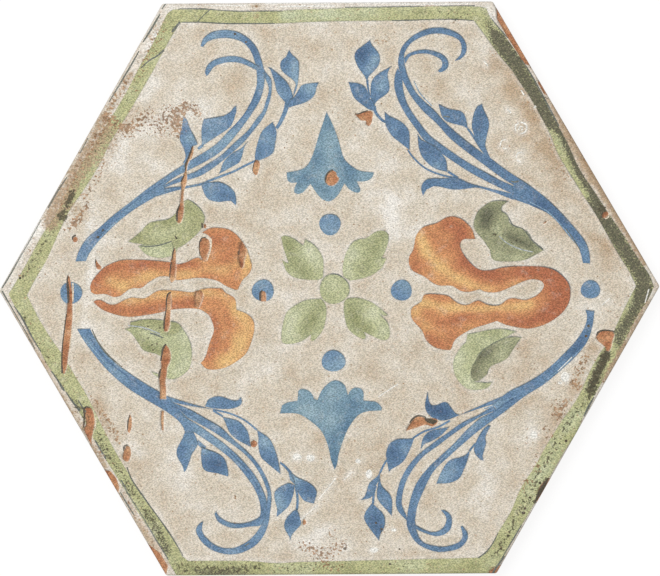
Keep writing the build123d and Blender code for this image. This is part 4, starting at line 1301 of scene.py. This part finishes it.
def tile_material():
    """Matt worn glaze over a red body: sandy grain, mottling, drawn edges with painted edge shade, grime and brown
    specks, and painted shade and highlight on the walls and rims of breaks.
    """
    material = bpy.data.materials.new("painted_tile")
    material.use_nodes = True
    g = Graph(material.node_tree)
    place = g.node("ShaderNodeTexCoord").outputs["Object"]
    paint = g.attribute("paint", "Color")
    ground = g.attribute("ground")
    clay = g.attribute("clay")
    band = g.attribute("band")
    edge = g.attribute("edge")
    canvas = g.node("ShaderNodeMapping")
    g.put(canvas.inputs["Vector"], place)
    g.put(canvas.inputs["Rotation"], (0, 0, math.radians(-50)))
    g.put(canvas.inputs["Scale"], (0.6, 1.05, 1))
    grain = g.noise(canvas.outputs[0], 0.4, 1.0)
    drift = g.span(g.noise(place, 11, 4.0, 0.55), 0.2, 0.8, 0.34, 0.66)
    cloud = g.math("ADD", g.math("MULTIPLY", g.attribute("cloud"), 0.34), drift)
    blot = g.noise(place, 4, 4.0, 0.65)
    speck = g.noise(place, 0.6, 2.0, 0.6)
    dust = g.noise(place, 1.2, 3.0, 0.65)
    flake = g.noise(place, 1.2, 2.5, 0.6)
    chip = g.noise(place, 1.35, 2.5, 0.6)

    light_share = g.math("MULTIPLY", ground, g.span(cloud, 0.48, 0.82, 0, 0.9))
    dark_share = g.math("MULTIPLY", ground, g.span(cloud, 0.54, 0.18, 0, 0.95))
    colour_now = g.mix(light_share, paint, colour(244, 240, 232))
    colour_now = g.mix(dark_share, colour_now, colour(190, 166, 136))
    halo = g.math("MULTIPLY", ground, g.span(edge, 2.4, 0.2, 0, 0.35))
    colour_now = g.mix(g.math("MULTIPLY", halo, g.span(blot, 0.35, 0.6)), colour_now, colour(244, 240, 232))
    painted = g.math("SUBTRACT", 1.0, ground)
    colour_now = g.mix(g.math("MULTIPLY", painted, g.span(blot, 0.52, 0.8, 0, 0.25)), colour_now, colour(232, 226, 212))
    colour_now = g.mix(g.math("MULTIPLY", painted, g.span(blot, 0.45, 0.2, 0, 0.2)), colour_now, colour(84, 84, 76))
    pale = g.math("MULTIPLY", g.attribute("pale"), g.span(dust, 0.34, 0.56))
    pale = g.math("MULTIPLY", pale, g.span(ground, 0, 1, 0.3, 1))
    fleck = g.math("MULTIPLY", ground, g.span(speck, 0.55, 0.75, 0, 0.3))
    colour_now = g.mix(g.math("MAXIMUM", g.math("MULTIPLY", pale, 0.8), fleck), colour_now, colour(248, 246, 240))
    # The paint's drawn edge lines, with their painted relief shade
    line = g.math("MULTIPLY", g.attribute("ink_and_shade"), g.span(edge, 0.5, 0.12))
    colour_now = g.mix(g.math("MULTIPLY", line, 0.75), colour_now, colour(80, 92, 98))
    unpainted = g.math("MAXIMUM", ground, g.math("MAXIMUM", band, 0.25))
    wash = g.math("MULTIPLY", unpainted, g.worn("wash", dust, 0.68, 0.37, 0.9, 0.15))
    colour_now = g.mix(wash, colour_now, colour(178, 153, 124))
    rust = g.math("MULTIPLY", unpainted, g.worn("rust", flake, 0.766, 0.428, 0.85))
    umber = g.mix(g.span(blot, 0.38, 0.62), colour(138, 104, 74), colour(180, 144, 110))
    colour_now = g.mix(rust, colour_now, umber)
    grime = g.math("MULTIPLY", band, g.worn("grime", speck, 0.78, 0.33, 0.96, 0.12))
    colour_now = g.mix(grime, colour_now, colour(100, 97, 80))
    colour_now = g.mix(g.worn("soot", chip, 0.766, 0.4, 0.85), colour_now, colour(86, 80, 62))
    body = g.mix(g.span(blot, 0.35, 0.65), PALETTES["clay"][0], PALETTES["clay"][2])
    colour_now = g.mix(g.math("MULTIPLY", clay, 0.4), colour_now, body)
    # Painted highlight on the lower-right rims of breaks (glint), and painted shade on their upper-left walls (wall)
    glint = g.math("MULTIPLY", g.attribute("glint"), g.span(edge, 0.7, 0.1))
    colour_now = g.mix(g.math("MULTIPLY", glint, g.span(clay, 0, 1, 0.4, 0.2)), colour_now, colour(240, 230, 214))
    wall = g.math("MULTIPLY", g.attribute("wall"), g.span(edge, 0.9, 0.2))
    colour_now = g.mix(g.math("MULTIPLY", wall, 0.5), colour_now, colour(84, 72, 60))
    colour_now = g.mix(0.2, colour_now, grain.node.outputs["Color"], "SOFT_LIGHT")
    wave = g.math("SUBTRACT", g.span(grain, 0.32, 0.7), 0.48)
    shade = g.math("ADD", 1.0, g.math("MULTIPLY", wave, g.span(ground, 0, 1, 0.68, 0.5)))
    colour_now = g.mix(1.0, colour_now, shade, "MULTIPLY")

    bump = g.node("ShaderNodeBump")
    g.put(bump.inputs["Strength"], 0.35)
    g.put(bump.inputs["Distance"], 0.0002)
    g.put(bump.inputs["Height"], grain)
    shader = g.node("ShaderNodeBsdfPrincipled")
    g.put(shader.inputs["Base Color"], colour_now)
    g.put(shader.inputs["Roughness"], g.span(clay, 0, 1, 0.62, 0.9))
    g.put(shader.inputs["Specular IOR Level"], 0.25)
    g.put(shader.inputs["Normal"], bump.outputs[0])
    output = g.node("ShaderNodeOutputMaterial")
    g.put(output.inputs["Surface"], shader.outputs[0])
    return material


def floor_material():
    """A white studio floor that keeps a soft shadow."""
    material = bpy.data.materials.new("studio_floor")
    material.use_nodes = True
    g = Graph(material.node_tree)
    light_path = g.node("ShaderNodeLightPath")
    seen = g.math("MAXIMUM", light_path.outputs["Is Camera Ray"], light_path.outputs["Is Glossy Ray"])
    seen = g.math("MAXIMUM", seen, light_path.outputs["Is Transmission Ray"])
    diffuse = g.node("ShaderNodeBsdfDiffuse")
    g.put(diffuse.inputs["Color"], (0.18, 0.18, 0.18, 1))
    glow = g.node("ShaderNodeEmission")
    g.put(glow.inputs["Color"], (1, 1, 1, 1))
    g.put(glow.inputs["Strength"], g.math("MULTIPLY", seen, 0.86))
    both = g.node("ShaderNodeAddShader")
    g.put(both.inputs[0], diffuse.outputs[0])
    g.put(both.inputs[1], glow.outputs[0])
    output = g.node("ShaderNodeOutputMaterial")
    g.put(output.inputs["Surface"], both.outputs[0])
    return material


# The studio

LENS_MM = 200
SENSOR_MM = 36
FLOOR_HALF = 6.0
FLOOR_LEVEL = -0.0001


def make_floor():
    """A wide flat floor under the tile."""
    half, level = FLOOR_HALF, FLOOR_LEVEL
    mesh = bpy.data.meshes.new("studio_floor")
    corners = [(-half, -half, level), (half, -half, level), (half, half, level), (-half, half, level)]
    mesh.from_pydata(corners, [], [(0, 1, 2, 3)])
    mesh.materials.append(floor_material())
    floor = bpy.data.objects.new("studio_floor", mesh)
    bpy.context.scene.collection.objects.link(floor)


def make_camera():
    """A long lens straight above, framed as the photo."""
    data = bpy.data.cameras.new("camera")
    data.sensor_fit = "HORIZONTAL"
    data.sensor_width = SENSOR_MM
    data.lens = LENS_MM
    data.clip_end = 100
    camera = bpy.data.objects.new("camera", data)
    frame_width = PHOTO_WIDTH * MM_PER_PX / 1000
    distance = frame_width * LENS_MM / SENSOR_MM
    middle = to_tile(np.array([[PHOTO_WIDTH / 2, PHOTO_HEIGHT / 2]]))[0] / 1000
    camera.location = (middle[0], middle[1], THICKNESS / 1000 + distance)
    camera.rotation_euler = (0, 0, -LEAN)
    bpy.context.scene.collection.objects.link(camera)
    bpy.context.scene.camera = camera


def make_light():
    """An even white room and a broad soft lamp from the upper left."""
    world = bpy.data.worlds.new("studio")
    world.use_nodes = True
    background = world.node_tree.nodes["Background"]
    background.inputs["Color"].default_value = (1, 1, 1, 1)
    background.inputs["Strength"].default_value = 0.66
    bpy.context.scene.world = world
    lamp = bpy.data.lights.new("key", "AREA")
    lamp.shape = "SQUARE"
    lamp.size = 1.2
    lamp.energy = 19
    key = bpy.data.objects.new("key", lamp)
    key.location = (-0.9, 0.8, 1.9)
    key.rotation_euler = (-Vector(key.location)).to_track_quat("-Z", "Y").to_euler()
    bpy.context.scene.collection.objects.link(key)


def main():
    make_camera()
    make_light()
    make_floor()
    tile = make_tile(tile_material())
    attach(tile, "root")
    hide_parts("tile")
    bpy.context.scene.view_settings.view_transform = "Standard"


main()
